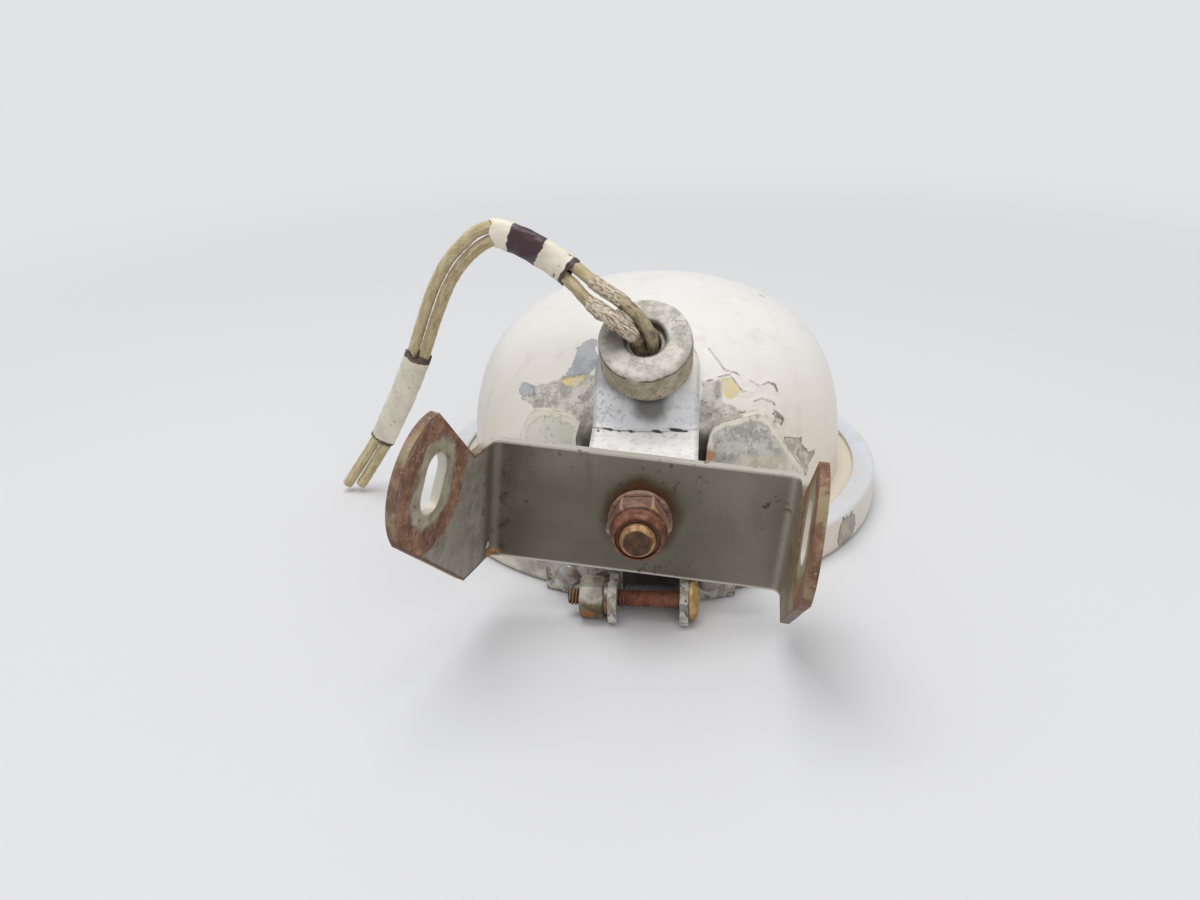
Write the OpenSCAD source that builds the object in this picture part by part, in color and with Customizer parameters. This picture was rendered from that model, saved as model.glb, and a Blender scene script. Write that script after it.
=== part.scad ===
// Aircraft taxi light: a domed lamp housing that lies on its clamp ring, with a swivel
// yoke on a strap bracket and two bare-ended supply wires. Millimetres, +Z up, floor at 0.
// The lamp axis is vertical at y = lamp_y and the yoke stands out towards -Y.

/* [Housing] */
// Outer radius of the dome's wall
dome_r = 51.6; // [48:0.2:54]
// Height where the dome's wall starts to round over
dome_base_z = 10; // [9.4:0.2:14]
// Height of the dome's top above its base
dome_rise = 49.05; // [44:0.05:54]
// Roundness of the dome, 2 is an ellipse and more is squarer
dome_power = 2.76; // [2.2:0.02:3.2]
// Wall thickness of the spun housing
shell_t = 1.2; // [0.8:0.1:1.6]
// Outer radius of the housing's rim flange
flange_r = 60.6; // [59:0.1:60.6]

/* [Clamp ring] */
// Outer radius of the clamp ring
ring_r = 62; // [61.8:0.1:64]
// Height of the clamp ring
ring_h = 10.5; // [10.2:0.1:11]
// Sheet thickness of the clamp ring
ring_t = 1.1; // [0.8:0.1:1.2]
// Inner radius of the ring's top flange
ring_top_r = 56; // [54.5:0.1:57]
// Inner radius of the ring's front lip
ring_lip_r = 54.6; // [54:0.1:55]
// Inner face of the left clamp tab
tab_left_x = -5.6; // [-6:0.1:-5]
// Inner face of the right clamp tab
tab_right_x = 9; // [8.8:0.1:9.4]
// Thickness of the clamp tabs
tab_t = 2; // [1.6:0.1:2.2]
// Distance of the clamp screw from the lamp axis
screw_out = 70; // [69:0.1:71]
// Height of the clamp screw
screw_z = 5.2; // [5.1:0.1:5.4]

/* [Clamp screw] */
// Diameter of the clamp screw
screw_d = 4.17; // [4:0.01:4.4]
// Length of the screw under its head
screw_len = 28.3; // [27:0.1:30]
// Diameter of the screw's round head
screw_head_d = 9.8; // [9:0.1:10]
// Height of the screw's head
screw_head_h = 2.6; // [2:0.1:3]
// Width across flats of the clamp nut
nut_af = 8.73; // [8.6:0.01:8.9]
// Height of the clamp nut
nut_h = 5.6; // [5:0.1:6]
// Thickness of the lock washer
lock_t = 1; // [0.8:0.1:1.2]

/* [Strap bracket] */
// Width of the strap
strap_w = 25.4; // [24:0.2:27]
// Sheet thickness of the strap and the saddle plate
strap_t = 1.6; // [1.4:0.1:1.7]
// Outer face of the strap's upright leg from the lamp axis
leg_out = 68; // [67:0.2:69]
// Height of the crease where the strap leaves the dome
crease_z = 38.9; // [38:0.1:40]
// Fall of the strap's shelf from the dome to the leg
shelf_drop = 2.2; // [1.5:0.1:3]
// Height of the underside of the strap's lower return
return_z = 15; // [14:0.5:16]
// Top of the strap's foot on the saddle plate
foot_top_z = 27; // [26:0.5:28]

/* [Saddle plate] */
// Half width of the saddle plate
saddle_half = 37; // [34:0.5:40]
// Top edge of the saddle plate's wings
saddle_top_z = 40; // [38:0.5:41]
// Bottom edge of the saddle plate
saddle_low_z = 11.4; // [11:0.1:13]
// Half width of the notch that clears the strap
notch_half = 15; // [14:0.5:17]
// Bottom of the notch
notch_z = 30; // [29:0.5:32]

/* [Cable grommet] */
// Tilt of the grommet's axis from upright, towards -Y
grommet_tilt = 38; // [34:1:42]
// Outer diameter of the grommet
grommet_d = 26.8; // [25:0.2:28]
// Height of the grommet's face above the dome
grommet_top = 13; // [12:0.2:14]
// Diameter of the grommet's hole
grommet_bore = 9.7; // [9.5:0.1:10.5]
// Bore of the eyelet in the grommet
eyelet_bore = 7.4; // [7:0.1:7.6]

/* [Yoke] */
// Height of the pivot bolt
pivot_z = 27; // [26.8:0.1:28]
// Thickness of the yoke's sheet
yoke_t = 2; // [1.6:0.1:2.2]
// Half width between the inner faces of the ears at the fold
yoke_half = 33.7; // [32:0.1:36]
// Yoke plate above the pivot
yoke_up = 15; // [14:0.5:16]
// Yoke plate below the pivot
yoke_down = 14.75; // [14:0.05:15]
// Inner radius of the yoke's bends
bend_r = 2; // [1:0.5:3]
// Outward lean of the left ear
left_flare = 17; // [4:1:20]
// Outward lean of the right ear, less than 0 where it leans inward
right_flare = -3; // [-6:1:12]
// Turn of the yoke about its bolt at rest, right end down
yoke_roll = 6.7; // [0:0.1:7]
// Distance of the ear's slot from the fold
slot_u = 26.3; // [25:0.1:27]
// Height of the ear's slot above the pivot
slot_v = 16.2; // [15:0.1:17]
// Width of the ear's slot
slot_w = 7.94; // [6.5:0.01:8.5]
// End-to-end length of the ear's slot
slot_len = 12.7; // [9:0.1:13]
// Lean of the slot from upright
slot_tilt = 25; // [0:1:45]
// Distance of the ear's round end's centre from the fold
ear_u = 25; // [24:0.1:26]
// Height of the ear's round end's centre above the pivot
ear_v = 15.5; // [15:0.1:16.5]
// Radius of the ear's round end
ear_r = 15.5; // [15:0.1:16]
// Length of the ear's straight lower edge from the fold
ear_low_u = 12.6; // [10:0.1:14]
// Length of the ear's straight upper edge from the fold
ear_high_u = 9.3; // [8:0.1:11]

/* [Pivot hardware] */
// Diameter of the pivot bolt
bolt_d = 7.94; // [7.8:0.01:8]
// Width across flats of the bolt's head and nut
bolt_af = 12.7; // [12.5:0.1:13]
// Height of the bolt's head
bolt_head_h = 4.8; // [4:0.1:5.2]
// Reach of the bolt's end past the yoke's front face
bolt_reach = 11.6; // [11:0.1:13]
// Outer diameter of the pivot washer
washer_d = 14.3; // [13.5:0.1:16]
// Thickness of the pivot washer
washer_t = 1.4; // [1:0.1:1.6]
// Height of the stop nut
stop_nut_h = 8.2; // [7.6:0.1:8.6]
// Height of the stop nut's hexagon
stop_hex_h = 5; // [4.4:0.1:5.4]

/* [Lamp] */
// Radius of the sealed lamp's rim
lamp_r = 57.2; // [56:0.1:57.2]
// Focal length of the lamp's mirror
focal = 17.1; // [16:0.1:18]
// Radius of the mirror's mouth
mirror_r = 47.5; // [46:0.1:47.5]
// Glass thickness
glass_t = 2.8; // [2.4:0.1:3]
// Distance of each lamp terminal from the lamp axis
terminal_x = 12; // [11:0.5:13]

/* [Wires] */
// Diameter of each supply wire
wire_d = 3; // [2.6:0.1:3.2]
// Sideways distance of each wire from the eyelet's axis
wire_off = 1.65; // [1.6:0.01:1.7]
// Length of the long half axis of a sleeve's section
sleeve_a = 3.9; // [3.8:0.1:4.2]
// Length of the short half axis of a sleeve's section
sleeve_b = 2.3; // [2.2:0.1:2.6]

/* [Hidden] */
$fn = 64;

// Gap left between pieces that lie on each other
fit_gap = 0.05;
// Heights of the rim stack, from the lens rim up to the ring's top flange
lens_seat_z = 3.7;
lamp_joint_z = 5.45;
lamp_top_z = 7.3;
flange_z = 8.2;
flange_t = 1;
lens_low_z = 0.8;
mirror_top_z = lamp_joint_z + mirror_r * mirror_r / 4 / focal;
boss_z = mirror_top_z + 3.5;
boss_r = 18;
ferrule_h = 3;
lug_z = boss_z + fit_gap + ferrule_h;
lug_t = 0.8;
barrel_z = lug_z + 1.15;

// The front faces of the strap's leg and of the yoke, from the lamp axis
yoke_back = leg_out + 0.1;
yoke_front = yoke_back + yoke_t;
// The part's origin is the middle of its box on the floor, so the lamp axis stands back
ear_reach = yoke_front + (ear_u + ear_r) * cos(right_flare);
lamp_y = (ear_reach - ring_r) / 2;

// The dome point whose normal is the grommet's axis
lean = pow(tan(grommet_tilt) * dome_r / dome_rise, 1 / (dome_power - 1));
top_share = pow(1 / (pow(lean, dome_power) + 1), 1 / dome_power);
grommet_out = dome_r * lean * top_share;
grommet_z = dome_base_z + dome_rise * top_share;
eyelet_top = grommet_top - 2.5;
eyelet_low = -3;

// A point of the dome's profile, moved out along its normal
function dome_point(turn, out) =
    let (nr = pow(cos(turn), 2 - 2 / dome_power) / dome_r,
         nz = pow(sin(turn), 2 - 2 / dome_power) / dome_rise,
         len = norm([nr, nz]))
    [dome_r * pow(cos(turn), 2 / dome_power) + out * nr / len,
     dome_base_z + dome_rise * pow(sin(turn), 2 / dome_power) + out * nz / len];
function dome_curve(out, steps = 20) = [for (i = [0:steps]) dome_point(90 * i / steps, out)];
function backwards(list) = [for (i = [len(list) - 1:-1:0]) list[i]];
// An arc of points about a centre
function arc(centre, r, from, to, steps) =
    [for (i = [0:steps]) let (a = from + (to - from) * i / steps) centre + r * [cos(a), sin(a)]];
// Height above its middle of a shallow bowl with a given rise at a given radius
function bowl(r, rise, at) = rise * pow(r / at, 2);
function mirror_z(r) = mirror_top_z - r * r / 4 / focal;
// Radius of the dome's wall at a height
function wall_r(z) = dome_r * pow(1 - pow(max(z - dome_base_z, 0) / dome_rise, dome_power), 1 / dome_power);

// Routes of the wires, from the eyelet to the bare ends on the floor
route_a = [[1.4, -22.3, 61.8], [0.5, -22.5, 63.6], [-1.1, -21.9, 65.8], [-3.6, -20.7, 68],
    [-6.5, -19, 69.8], [-9.5, -17.5, 71.2], [-13, -15, 73], [-16.6, -12.6, 75.2],
    [-21.5, -11, 78.2], [-27.5, -9.5, 81.2], [-32.4, -8.2, 83], [-36.5, -7.3, 83.7],
    [-41, -6.4, 82.3], [-44.8, -5.5, 79.2], [-49, -3.8, 75], [-52.8, -2, 69.6],
    [-56, -0.2, 63.8], [-59, 1.8, 57.4], [-63.4, 4.6, 47.4], [-66.8, 6.6, 40.6],
    [-70.6, 8.8, 33.4], [-74.8, 11, 26], [-79.2, 12.9, 18.4], [-83.4, 13.9, 12.2],
    [-87.4, 14.1, 6.6], [-90.6, 13.8, 2.2]];
route_b = [[-2.1, -22.5, 61.3], [-3.3, -23.1, 62.7], [-5.2, -22.8, 64.3], [-7.8, -21.6, 65.9],
    [-10.9, -19.8, 67.3], [-14.2, -17.2, 69.2], [-16.8, -14.8, 71.2], [-19.6, -12.9, 73],
    [-23.6, -11.2, 75.5], [-29, -9.7, 78.3], [-33.2, -8.4, 79.9], [-36.4, -7.5, 80.5],
    [-39.2, -6.8, 79.4], [-42.6, -5.7, 76.9], [-46.4, -4, 73], [-50, -2.2, 68],
    [-53, -0.4, 62.4], [-56, 1.6, 56.2], [-60.4, 4.4, 46.3], [-63.8, 6.4, 39.4],
    [-67.6, 8.6, 32.2], [-71.8, 10.8, 24.8], [-76.2, 12.7, 17.2], [-80.2, 13.7, 11.2],
    [-83.9, 13.9, 5.8], [-86.5, 13.6, 2.2]];
// The stretches of both routes that the sleeves cover, by point number
upper_span = [7, 11];
lower_span = [18, 22];
// The lead inside the dome, for the right wire and mirrored for the left one
lead_route = [[3, -29, 44.6], [5, -24.5, 43.4], [7.8, -19.5, 43.5], [10.8, -15.2, 45]];

// A tube of the given section ring carried along points, with its ends square to them
function unit(v) = v / norm(v);
function path_dir(p, i) = unit(p[min(i + 1, len(p) - 1)] - p[max(i - 1, 0)]);
function oval(a, b, sides) = [for (k = [0:sides - 1]) [a * cos(360 * k / sides + 22.5),
    b * sin(360 * k / sides + 22.5)]];
module sweep(p, across, section) {
    n = len(section);
    rings = [for (i = [0:len(p) - 1])
        let (d = path_dir(p, i),
             side = unit(across[i] - (across[i] * d) * d),
             up = cross(d, side))
        for (s = section) p[i] + s[0] * side + s[1] * up];
    polyhedron(rings, concat([[for (k = [0:n - 1]) k]],
        [for (i = [0:len(p) - 2], k = [0:n - 1]) let (a = i * n + k, b = i * n + (k + 1) % n)
            each [[a, a + n, b], [b, a + n, b + n]]],
        [[for (k = [n - 1:-1:0]) (len(p) - 1) * n + k]]), convexity = 6);
}

// Places a shape drawn about the lamp axis
module at_lamp() translate([0, lamp_y, 0]) children();
// Places a shape drawn about the grommet's axis, with the dome's surface at 0
module at_grommet() at_lamp() translate([0, -grommet_out, grommet_z])
    rotate([grommet_tilt, 0, 0]) children();
// Places a shape drawn about the pivot, with the yoke's front face at y = 0
module at_pivot() at_lamp() translate([0, -yoke_front, pivot_z]) children();
// Turns a shape drawn along +Z to point away from the lamp axis, towards -Y
module facing_out() rotate([90, 0, 0]) children();
// A point of the grommet's axis frame, in the part's frame
function grommet_point(x, along) = [x, lamp_y - grommet_out - along * sin(grommet_tilt),
    grommet_z + along * cos(grommet_tilt)];

// A skin over the dome between two offsets
module dome_skin(low, high) rotate_extrude($fn = 96)
    polygon(concat(dome_curve(high), backwards(dome_curve(low))));
module dome_solid(out) rotate_extrude($fn = 96)
    polygon(concat([[0, 0], [dome_r + out, 0]], dome_curve(out)));

// Rivet places as [x, z]
strap_rivet_at = [[-8, 21.5], [8, 21.5]];
saddle_rivet_at = [[-29, 21.5], [-21, 15.8], [21, 15.8], [29, 21.5]];
rivet_r = 1.6;
tab_rivet_x = [tab_left_x - 12, tab_right_x + 6.4];
tab_rivet_z = 5.4;
// Lower and upper edges of the clamp tabs, and their reach from the lamp axis
tab_low = 0.3;
tab_high = ring_h - 0.9;
tab_reach = 75.2;
// Runs its children once at each rivet place, with +Z out of the wall and 0 on its face
module at_rivets(places) for (p = places) at_lamp() translate([0, 0, p[1]])
    rotate([0, 0, asin(p[0] / dome_r)]) facing_out() translate([0, 0, wall_r(p[1])]) children();
module rivet_holes(places) at_rivets(places) translate([0, 0, -10])
    cylinder(r = rivet_r + 0.03, h = 20, $fn = 24);
// A rivet with a domed head outside and a flat upset inside
module rivet(head_at, tail_at) rotate_extrude($fn = 24) polygon(concat(
    [[0, tail_at - 0.8], [2.5, tail_at - 0.8], [2.5, tail_at], [rivet_r, tail_at], [rivet_r, head_at],
     [3.1, head_at]],
    [for (a = [15:15:90]) [3.1 * cos(a), head_at + 1.3 * sin(a)]]));

module housing_shell() color("ivory") difference() {
    at_lamp() rotate_extrude($fn = 96) polygon(concat(
        [[dome_r - shell_t, flange_z], [flange_r, flange_z], [flange_r, flange_z + flange_t],
         [dome_r + 0.8, flange_z + flange_t], [dome_r + 0.2, flange_z + flange_t + 0.2]],
        dome_curve(0), backwards(dome_curve(-shell_t))));
    at_grommet() translate([0, 0, -8]) cylinder(r = grommet_bore / 2 + fit_gap, h = 16);
    rivet_holes(concat(strap_rivet_at, saddle_rivet_at));
}

// The wings of the saddle plate in front view, with round top corners
module saddle_outline() difference() {
    polygon(concat([[-saddle_half, saddle_low_z], [saddle_half, saddle_low_z]],
        arc([saddle_half - 5, saddle_top_z - 5], 5, 0, 90, 6),
        arc([notch_half + 4, saddle_top_z - 4], 4, 90, 180, 6),
        [[notch_half, notch_z], [-notch_half, notch_z]],
        arc([-notch_half - 4, saddle_top_z - 4], 4, 0, 90, 6),
        arc([5 - saddle_half, saddle_top_z - 5], 5, 90, 180, 6)));
}
module saddle_plate() color("gainsboro") difference() {
    at_lamp() intersection() {
        dome_skin(fit_gap, fit_gap + strap_t);
        rotate([90, 0, 0]) linear_extrude(80) saddle_outline();
    }
    rivet_holes(concat(strap_rivet_at, saddle_rivet_at));
}
module saddle_rivets() color("silver") at_rivets(saddle_rivet_at) rivet(strap_t + 0.3, -1.6);

// The strap's upper end in the grommet's frame: round about the grommet, straight below
module strap_top_outline() {
    circle(r = 15);
    translate([-strap_w / 2, -30]) square([strap_w, 30]);
}
// The strap's shelf, leg and lower return, as distance from the lamp axis and height
module strap_side() {
    shelf_end = [leg_out - 2.6, crease_z - shelf_drop - 2.6];
    low_end = [leg_out - 2.6, return_z + 2.6];
    inner = 2.6 - strap_t;
    polygon(concat([[44, crease_z + 0.4]], arc(shelf_end, 2.6, 83, 0, 6), arc(low_end, 2.6, 0, -90, 6),
        [[dome_r - 3, return_z], [dome_r - 3, return_z + strap_t]], arc(low_end, inner, -90, 0, 4),
        arc(shelf_end, inner, 0, 83, 4), [[44, crease_z + 0.4 - strap_t]]));
}
module mounting_strap() color("lightsteelblue") difference() {
    at_lamp() union() {
        intersection() {
            dome_skin(fit_gap, fit_gap + strap_t);
            translate([0, -grommet_out, grommet_z]) rotate([grommet_tilt, 0, 0])
                translate([0, 0, -30]) linear_extrude(50) strap_top_outline();
            translate([-30, -70, crease_z - 1]) cube([60, 70, 40]);
        }
        difference() {
            rotate([90, 0, -90]) translate([0, 0, -strap_w / 2]) linear_extrude(strap_w) strap_side();
            dome_solid(fit_gap + 0.6);
            intersection() {
                dome_solid(2 * fit_gap + strap_t + 0.6);
                translate([-40, -70, 0]) cube([80, 70, notch_z]);
            }
        }
        intersection() {
            dome_skin(2 * fit_gap + strap_t, 2 * fit_gap + 2 * strap_t);
            translate([-strap_w / 2, -70, return_z]) cube([strap_w, 40, foot_top_z - return_z]);
        }
    }
    at_grommet() translate([0, 0, -2]) cylinder(r = grommet_bore / 2 + fit_gap, h = 10);
    at_pivot() facing_out() translate([0, 0, -8]) cylinder(r = bolt_d / 2 + 0.05, h = 10);
    rivet_holes(strap_rivet_at);
}
module strap_rivets() color("silver") at_rivets(strap_rivet_at) rivet(2 * strap_t + 0.35, -1.6);

module cable_grommet() color("darkkhaki") at_grommet() rotate_extrude() polygon(concat(
    [[grommet_bore / 2, strap_t + 0.15], [grommet_d / 2 - 1, strap_t + 0.15], [grommet_d / 2, strap_t + 1]],
    arc([grommet_d / 2 - 1.3, grommet_top - 1.3], 1.3, 0, 90, 4),
    arc([grommet_bore / 2 + 0.6, grommet_top - 0.6], 0.6, 90, 180, 3)));
module grommet_eyelet() color("lightgray") at_grommet() rotate_extrude() polygon([
    [eyelet_bore / 2, eyelet_low], [6.2, eyelet_low], [6.2, eyelet_low + 1.2],
    [grommet_bore / 2 - fit_gap, eyelet_low + 1.2], [grommet_bore / 2 - fit_gap, eyelet_top],
    [eyelet_bore / 2 + 0.3, eyelet_top], [eyelet_bore / 2, eyelet_top - 0.3]]);

module pivot_bolt() color("sienna") at_pivot() facing_out() {
    head_top = -(yoke_front - leg_out + strap_t) - fit_gap;
    translate([0, 0, head_top - bolt_head_h]) rotate([0, 0, 30])
        cylinder(r = bolt_af / 2 / cos(30), h = bolt_head_h, $fn = 6);
    rotate_extrude($fn = 48) polygon([[0, head_top - 1], [bolt_d / 2, head_top - 1],
        [bolt_d / 2, bolt_reach - 1], [bolt_d / 2 - 0.9, bolt_reach], [1.2, bolt_reach],
        [0, bolt_reach - 0.5]]);
}
washer_at = 0.1;
nut_at = washer_at + washer_t + fit_gap;
module pivot_washer() color("saddlebrown") at_pivot() facing_out() translate([0, 0, washer_at])
    difference() {
        cylinder(r = washer_d / 2, h = washer_t);
        translate([0, 0, -1]) cylinder(r = bolt_d / 2 + 0.15, h = washer_t + 2);
    }
module pivot_stop_nut() color("chocolate") at_pivot() facing_out() translate([0, 0, nut_at])
    rotate([0, 0, 3]) difference() {
        union() {
            intersection() {
                cylinder(r = bolt_af / 2 / cos(30), h = stop_hex_h, $fn = 6);
                rotate_extrude($fn = 48) polygon([[0, 0], [bolt_af / 2 + 0.5, 0],
                    [bolt_af / 2 + 1.2, 0.6], [bolt_af / 2 + 1.2, stop_hex_h - 1.1],
                    [bolt_af / 2 - 0.3, stop_hex_h], [0, stop_hex_h]]);
            }
            rotate_extrude($fn = 48) polygon(concat([[0, stop_hex_h - 1], [5.9, stop_hex_h - 1]],
                arc([4.9, stop_nut_h - 1], 1, 0, 90, 4), [[0, stop_nut_h]]));
        }
        translate([0, 0, -1]) cylinder(r = bolt_d / 2 + 0.03, h = 12);
        translate([0, 0, stop_nut_h - 2.3]) cylinder(r = 5, h = 3);
    }
module stop_nut_insert() color("maroon") at_pivot() facing_out()
    translate([0, 0, nut_at + stop_nut_h - 2.25]) difference() {
        cylinder(r = 4.97, h = 1.7, $fn = 48);
        translate([0, 0, -1]) cylinder(r = bolt_d / 2 + 0.03, h = 4, $fn = 48);
    }

// One side of the bent sheet seen from above, from the ear's end round the bend to the plate
function bent_side(flare, r) =
    let (centre = [yoke_half - bend_r * tan(45 - flare / 2), -bend_r])
    concat([centre + r * [cos(flare), sin(flare)] + 45 * [sin(flare), -cos(flare)]],
        arc(centre, r, flare, 90, 8));
function flipped(list) = [for (p = list) [-p[0], p[1]]];
module yoke_plan() polygon(concat(bent_side(right_flare, bend_r + yoke_t),
    backwards(flipped(bent_side(left_flare, bend_r + yoke_t))),
    flipped(bent_side(left_flare, bend_r)), backwards(bent_side(right_flare, bend_r))));
// The ear's side view, as distance forward from the fold and height above the pivot; its
// straight edges are drawn on past the sheet's own edges, the upper one rising a little
module ear_outline() {
    round_end = arc([ear_u, ear_v], ear_r, -32, 92, 16);
    corner = [ear_low_u, -yoke_down];
    polygon(concat([[-15, -50], [-5, -50], corner + 0.3 * (corner - round_end[0])], round_end,
        [[ear_high_u, yoke_up], [-15, yoke_up + 0.6]]));
}
// What is cut away from the +X ear: all round its outline, and its slot
module ear_cutter(flare) translate([yoke_half, 0, 0]) rotate([0, 0, flare])
    translate([yoke_t + 3, 0, 0]) rotate([90, 0, -90]) linear_extrude(yoke_t + 6) {
        difference() {
            translate([-12, -24]) square([80, 64]);
            ear_outline();
        }
        translate([slot_u, slot_v]) rotate(slot_tilt) polygon(concat(
            arc([0, (slot_len - slot_w) / 2], slot_w / 2, 0, 180, 12),
            arc([0, (slot_w - slot_len) / 2], slot_w / 2, 180, 360, 12)));
    }
module yoke_bracket() color("rosybrown") at_pivot() rotate([0, yoke_roll, 0]) difference() {
    translate([0, 0, -yoke_down]) linear_extrude(yoke_down + ear_v + ear_r + 1) yoke_plan();
    translate([-50, -6, yoke_up]) cube([100, 12, 40]);
    ear_cutter(right_flare);
    mirror([1, 0, 0]) ear_cutter(left_flare);
    facing_out() translate([0, 0, -5]) cylinder(r = bolt_d / 2 + 0.08, h = 10);
}

// The clamp ring's section: top flange, wall, rolled bottom and a lip that rises to the lens
module band_section() polygon(concat([[ring_top_r, ring_h - ring_t], [ring_r - ring_t, ring_h - ring_t],
        [ring_r - ring_t, 1.9]], arc([ring_r - ring_t - 0.8, 1.9], 0.8, 0, -90, 3),
        [[57.9, ring_t], [ring_lip_r, 3.45], [ring_lip_r, 2.1], [57.5, 0]],
        arc([ring_r - 1.5, 1.5], 1.5, -90, 0, 5), arc([ring_r - 1.2, ring_h - 1.2], 1.2, 0, 90, 4),
        [[ring_top_r + 0.4, ring_h], [ring_top_r, ring_h - 0.4]]));
module clamp_band() color("white") difference() {
    at_lamp() rotate_extrude($fn = 96) band_section();
    at_lamp() translate([tab_left_x + 0.6, -70, -1]) cube([tab_right_x - tab_left_x - 1.2, 40, 20]);
    tab_rivet_holes();
}
// Runs its children at each tab rivet, with +Z pointing away from the lamp axis
module at_tab_rivets() for (x = tab_rivet_x) at_lamp() translate([0, 0, tab_rivet_z])
    rotate([0, 0, asin(x / ring_r)]) facing_out() children();
module tab_rivet_holes() at_tab_rivets() translate([0, 0, 55])
    cylinder(r = rivet_r + 0.03, h = 12, $fn = 24);
// A leg that hugs the ring between two x positions
module tab_leg(from, to) intersection() {
    rotate_extrude($fn = 96) translate([ring_r + fit_gap, tab_low]) square([tab_t, tab_high - tab_low]);
    translate([from, -70, 0]) cube([to - from, 40, 20]);
}
// The standing ear of a clamp tab, whose right face is at the given x
module tab_ear(x) translate([x, 0, 0]) rotate([90, 0, -90]) linear_extrude(tab_t) polygon(concat(
    [[ring_r - 0.1, tab_low]], arc([tab_reach - 2.5, tab_low + 2.5], 2.5, -90, 0, 5),
    arc([tab_reach - 3.5, tab_high - 3.5], 3.5, 0, 90, 6), [[ring_r - 0.1, tab_high]]));
module tab_holes() {
    at_screw() translate([0, 0, -40]) cylinder(r = screw_d / 2 + 0.2, h = 80, $fn = 32);
    tab_rivet_holes();
}
// Places a shape drawn along +Z on the clamp screw's axis, +Z towards +X
module at_screw() at_lamp() translate([0, -screw_out, screw_z]) rotate([0, 90, 0]) children();
module clamp_tab_left() color("whitesmoke") difference() {
    at_lamp() {
        tab_leg(tab_left_x - 18.5, tab_left_x);
        tab_ear(tab_left_x);
    }
    tab_holes();
}
module clamp_tab_right() color("whitesmoke") difference() {
    at_lamp() {
        tab_leg(tab_right_x, tab_right_x + 13);
        tab_ear(tab_right_x + tab_t);
    }
    tab_holes();
}
module tab_rivets() color("silver") at_tab_rivets() rotate_extrude($fn = 24) polygon(concat(
    [[0, ring_r - ring_t], [rivet_r, ring_r - ring_t], [rivet_r, ring_r + tab_t + 0.1],
     [3, ring_r + tab_t + 0.1]],
    [for (a = [15:15:90]) [3 * cos(a), ring_r + tab_t + 0.1 + 1.1 * sin(a)]]));

head_face = tab_right_x + tab_t + fit_gap;
module clamp_screw() color("peru") at_screw() difference() {
    tip = head_face - screw_len;
    rotate_extrude($fn = 48) polygon(concat([[0, tip], [screw_d / 2 - 0.5, tip], [screw_d / 2, tip + 0.6],
        [screw_d / 2, head_face], [screw_head_d / 2, head_face]], [for (a = [0:15:90])
            [screw_head_d / 2 * cos(a), head_face + 0.8 + (screw_head_h - 0.8) * sin(a)]]));
    translate([-8, -0.6, head_face + screw_head_h - 1.1]) cube([16, 1.2, 3]);
}
lock_at = tab_left_x - tab_t - fit_gap;
// A split spring washer, open by a narrow slanting gap
module clamp_lock_washer() color("slategray") at_screw() translate([0, 0, lock_at - lock_t]) difference() {
    cylinder(r = 3.9, h = lock_t, $fn = 48);
    translate([0, 0, -1]) cylinder(r = screw_d / 2 + 0.15, h = lock_t + 2, $fn = 48);
    rotate([0, 0, 20]) translate([2, -0.3, -1]) cube([3, 0.6, lock_t + 2]);
}
module clamp_nut() color("gainsboro") at_screw()
    translate([0, 0, lock_at - lock_t - fit_gap - nut_h]) difference() {
        intersection() {
            rotate([0, 0, 30]) cylinder(r = nut_af / 2 / cos(30), h = nut_h, $fn = 6);
            rotate_extrude($fn = 48) polygon([[0, 0], [nut_af / 2 - 0.2, 0], [nut_af / 2 + 0.9, 0.7],
                [nut_af / 2 + 0.9, nut_h - 0.7], [nut_af / 2 - 0.2, nut_h], [0, nut_h]]);
        }
        translate([0, 0, -1]) cylinder(r = screw_d / 2 + 0.03, h = nut_h + 2, $fn = 48);
    }

module rim_gasket() color("dimgray") at_lamp() rotate_extrude($fn = 96) polygon([
    [dome_r - 0.4, lamp_top_z + fit_gap], [lamp_r + 0.2, lamp_top_z + fit_gap], [lamp_r + 0.2, 3],
    [ring_r - ring_t - 0.3, 3], [ring_r - ring_t - 0.3, flange_z - fit_gap],
    [dome_r - 0.4, flange_z - fit_gap]]);
module lamp_lens() color("lightcyan") at_lamp() rotate_extrude($fn = 96) polygon(concat(
    [for (i = [0:8]) let (r = 54.2 * i / 8) [r, lens_low_z + bowl(r, lens_seat_z - lens_low_z, 54.2)]],
    [[lamp_r - 0.4, lens_seat_z + 0.1], [lamp_r, lens_seat_z + 0.5], [lamp_r, lamp_joint_z],
     [mirror_r + 1.5, lamp_joint_z]],
    [for (i = [8:-1:0]) let (r = mirror_r * i / 8)
        [r, lens_low_z + glass_t + bowl(r, lamp_joint_z - lens_low_z - glass_t - 0.1, mirror_r)]]));
module lamp_reflector() color("silver") difference() {
    at_lamp() rotate_extrude($fn = 96) polygon(concat(
        [for (i = [0:14]) let (r = mirror_r * i / 14) [r, mirror_z(r)]],
        [[lamp_r, lamp_joint_z + fit_gap], [lamp_r, lamp_top_z - 0.4], [lamp_r - 0.4, lamp_top_z],
         [mirror_r + glass_t, lamp_top_z]],
        [for (i = [11:-1:5]) let (r = mirror_r * i / 12) [r + glass_t, mirror_z(r) + glass_t * 0.6]],
        [[boss_r, boss_z], [0, boss_z]]));
    at_terminals() translate([0, 0, mirror_z(terminal_x) - 4]) cylinder(r = 1.3, h = 12, $fn = 24);
}
module at_terminals() for (side = [-1, 1]) at_lamp() translate([side * terminal_x, 0, 0]) children();
focus_z = mirror_top_z - focal;
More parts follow.
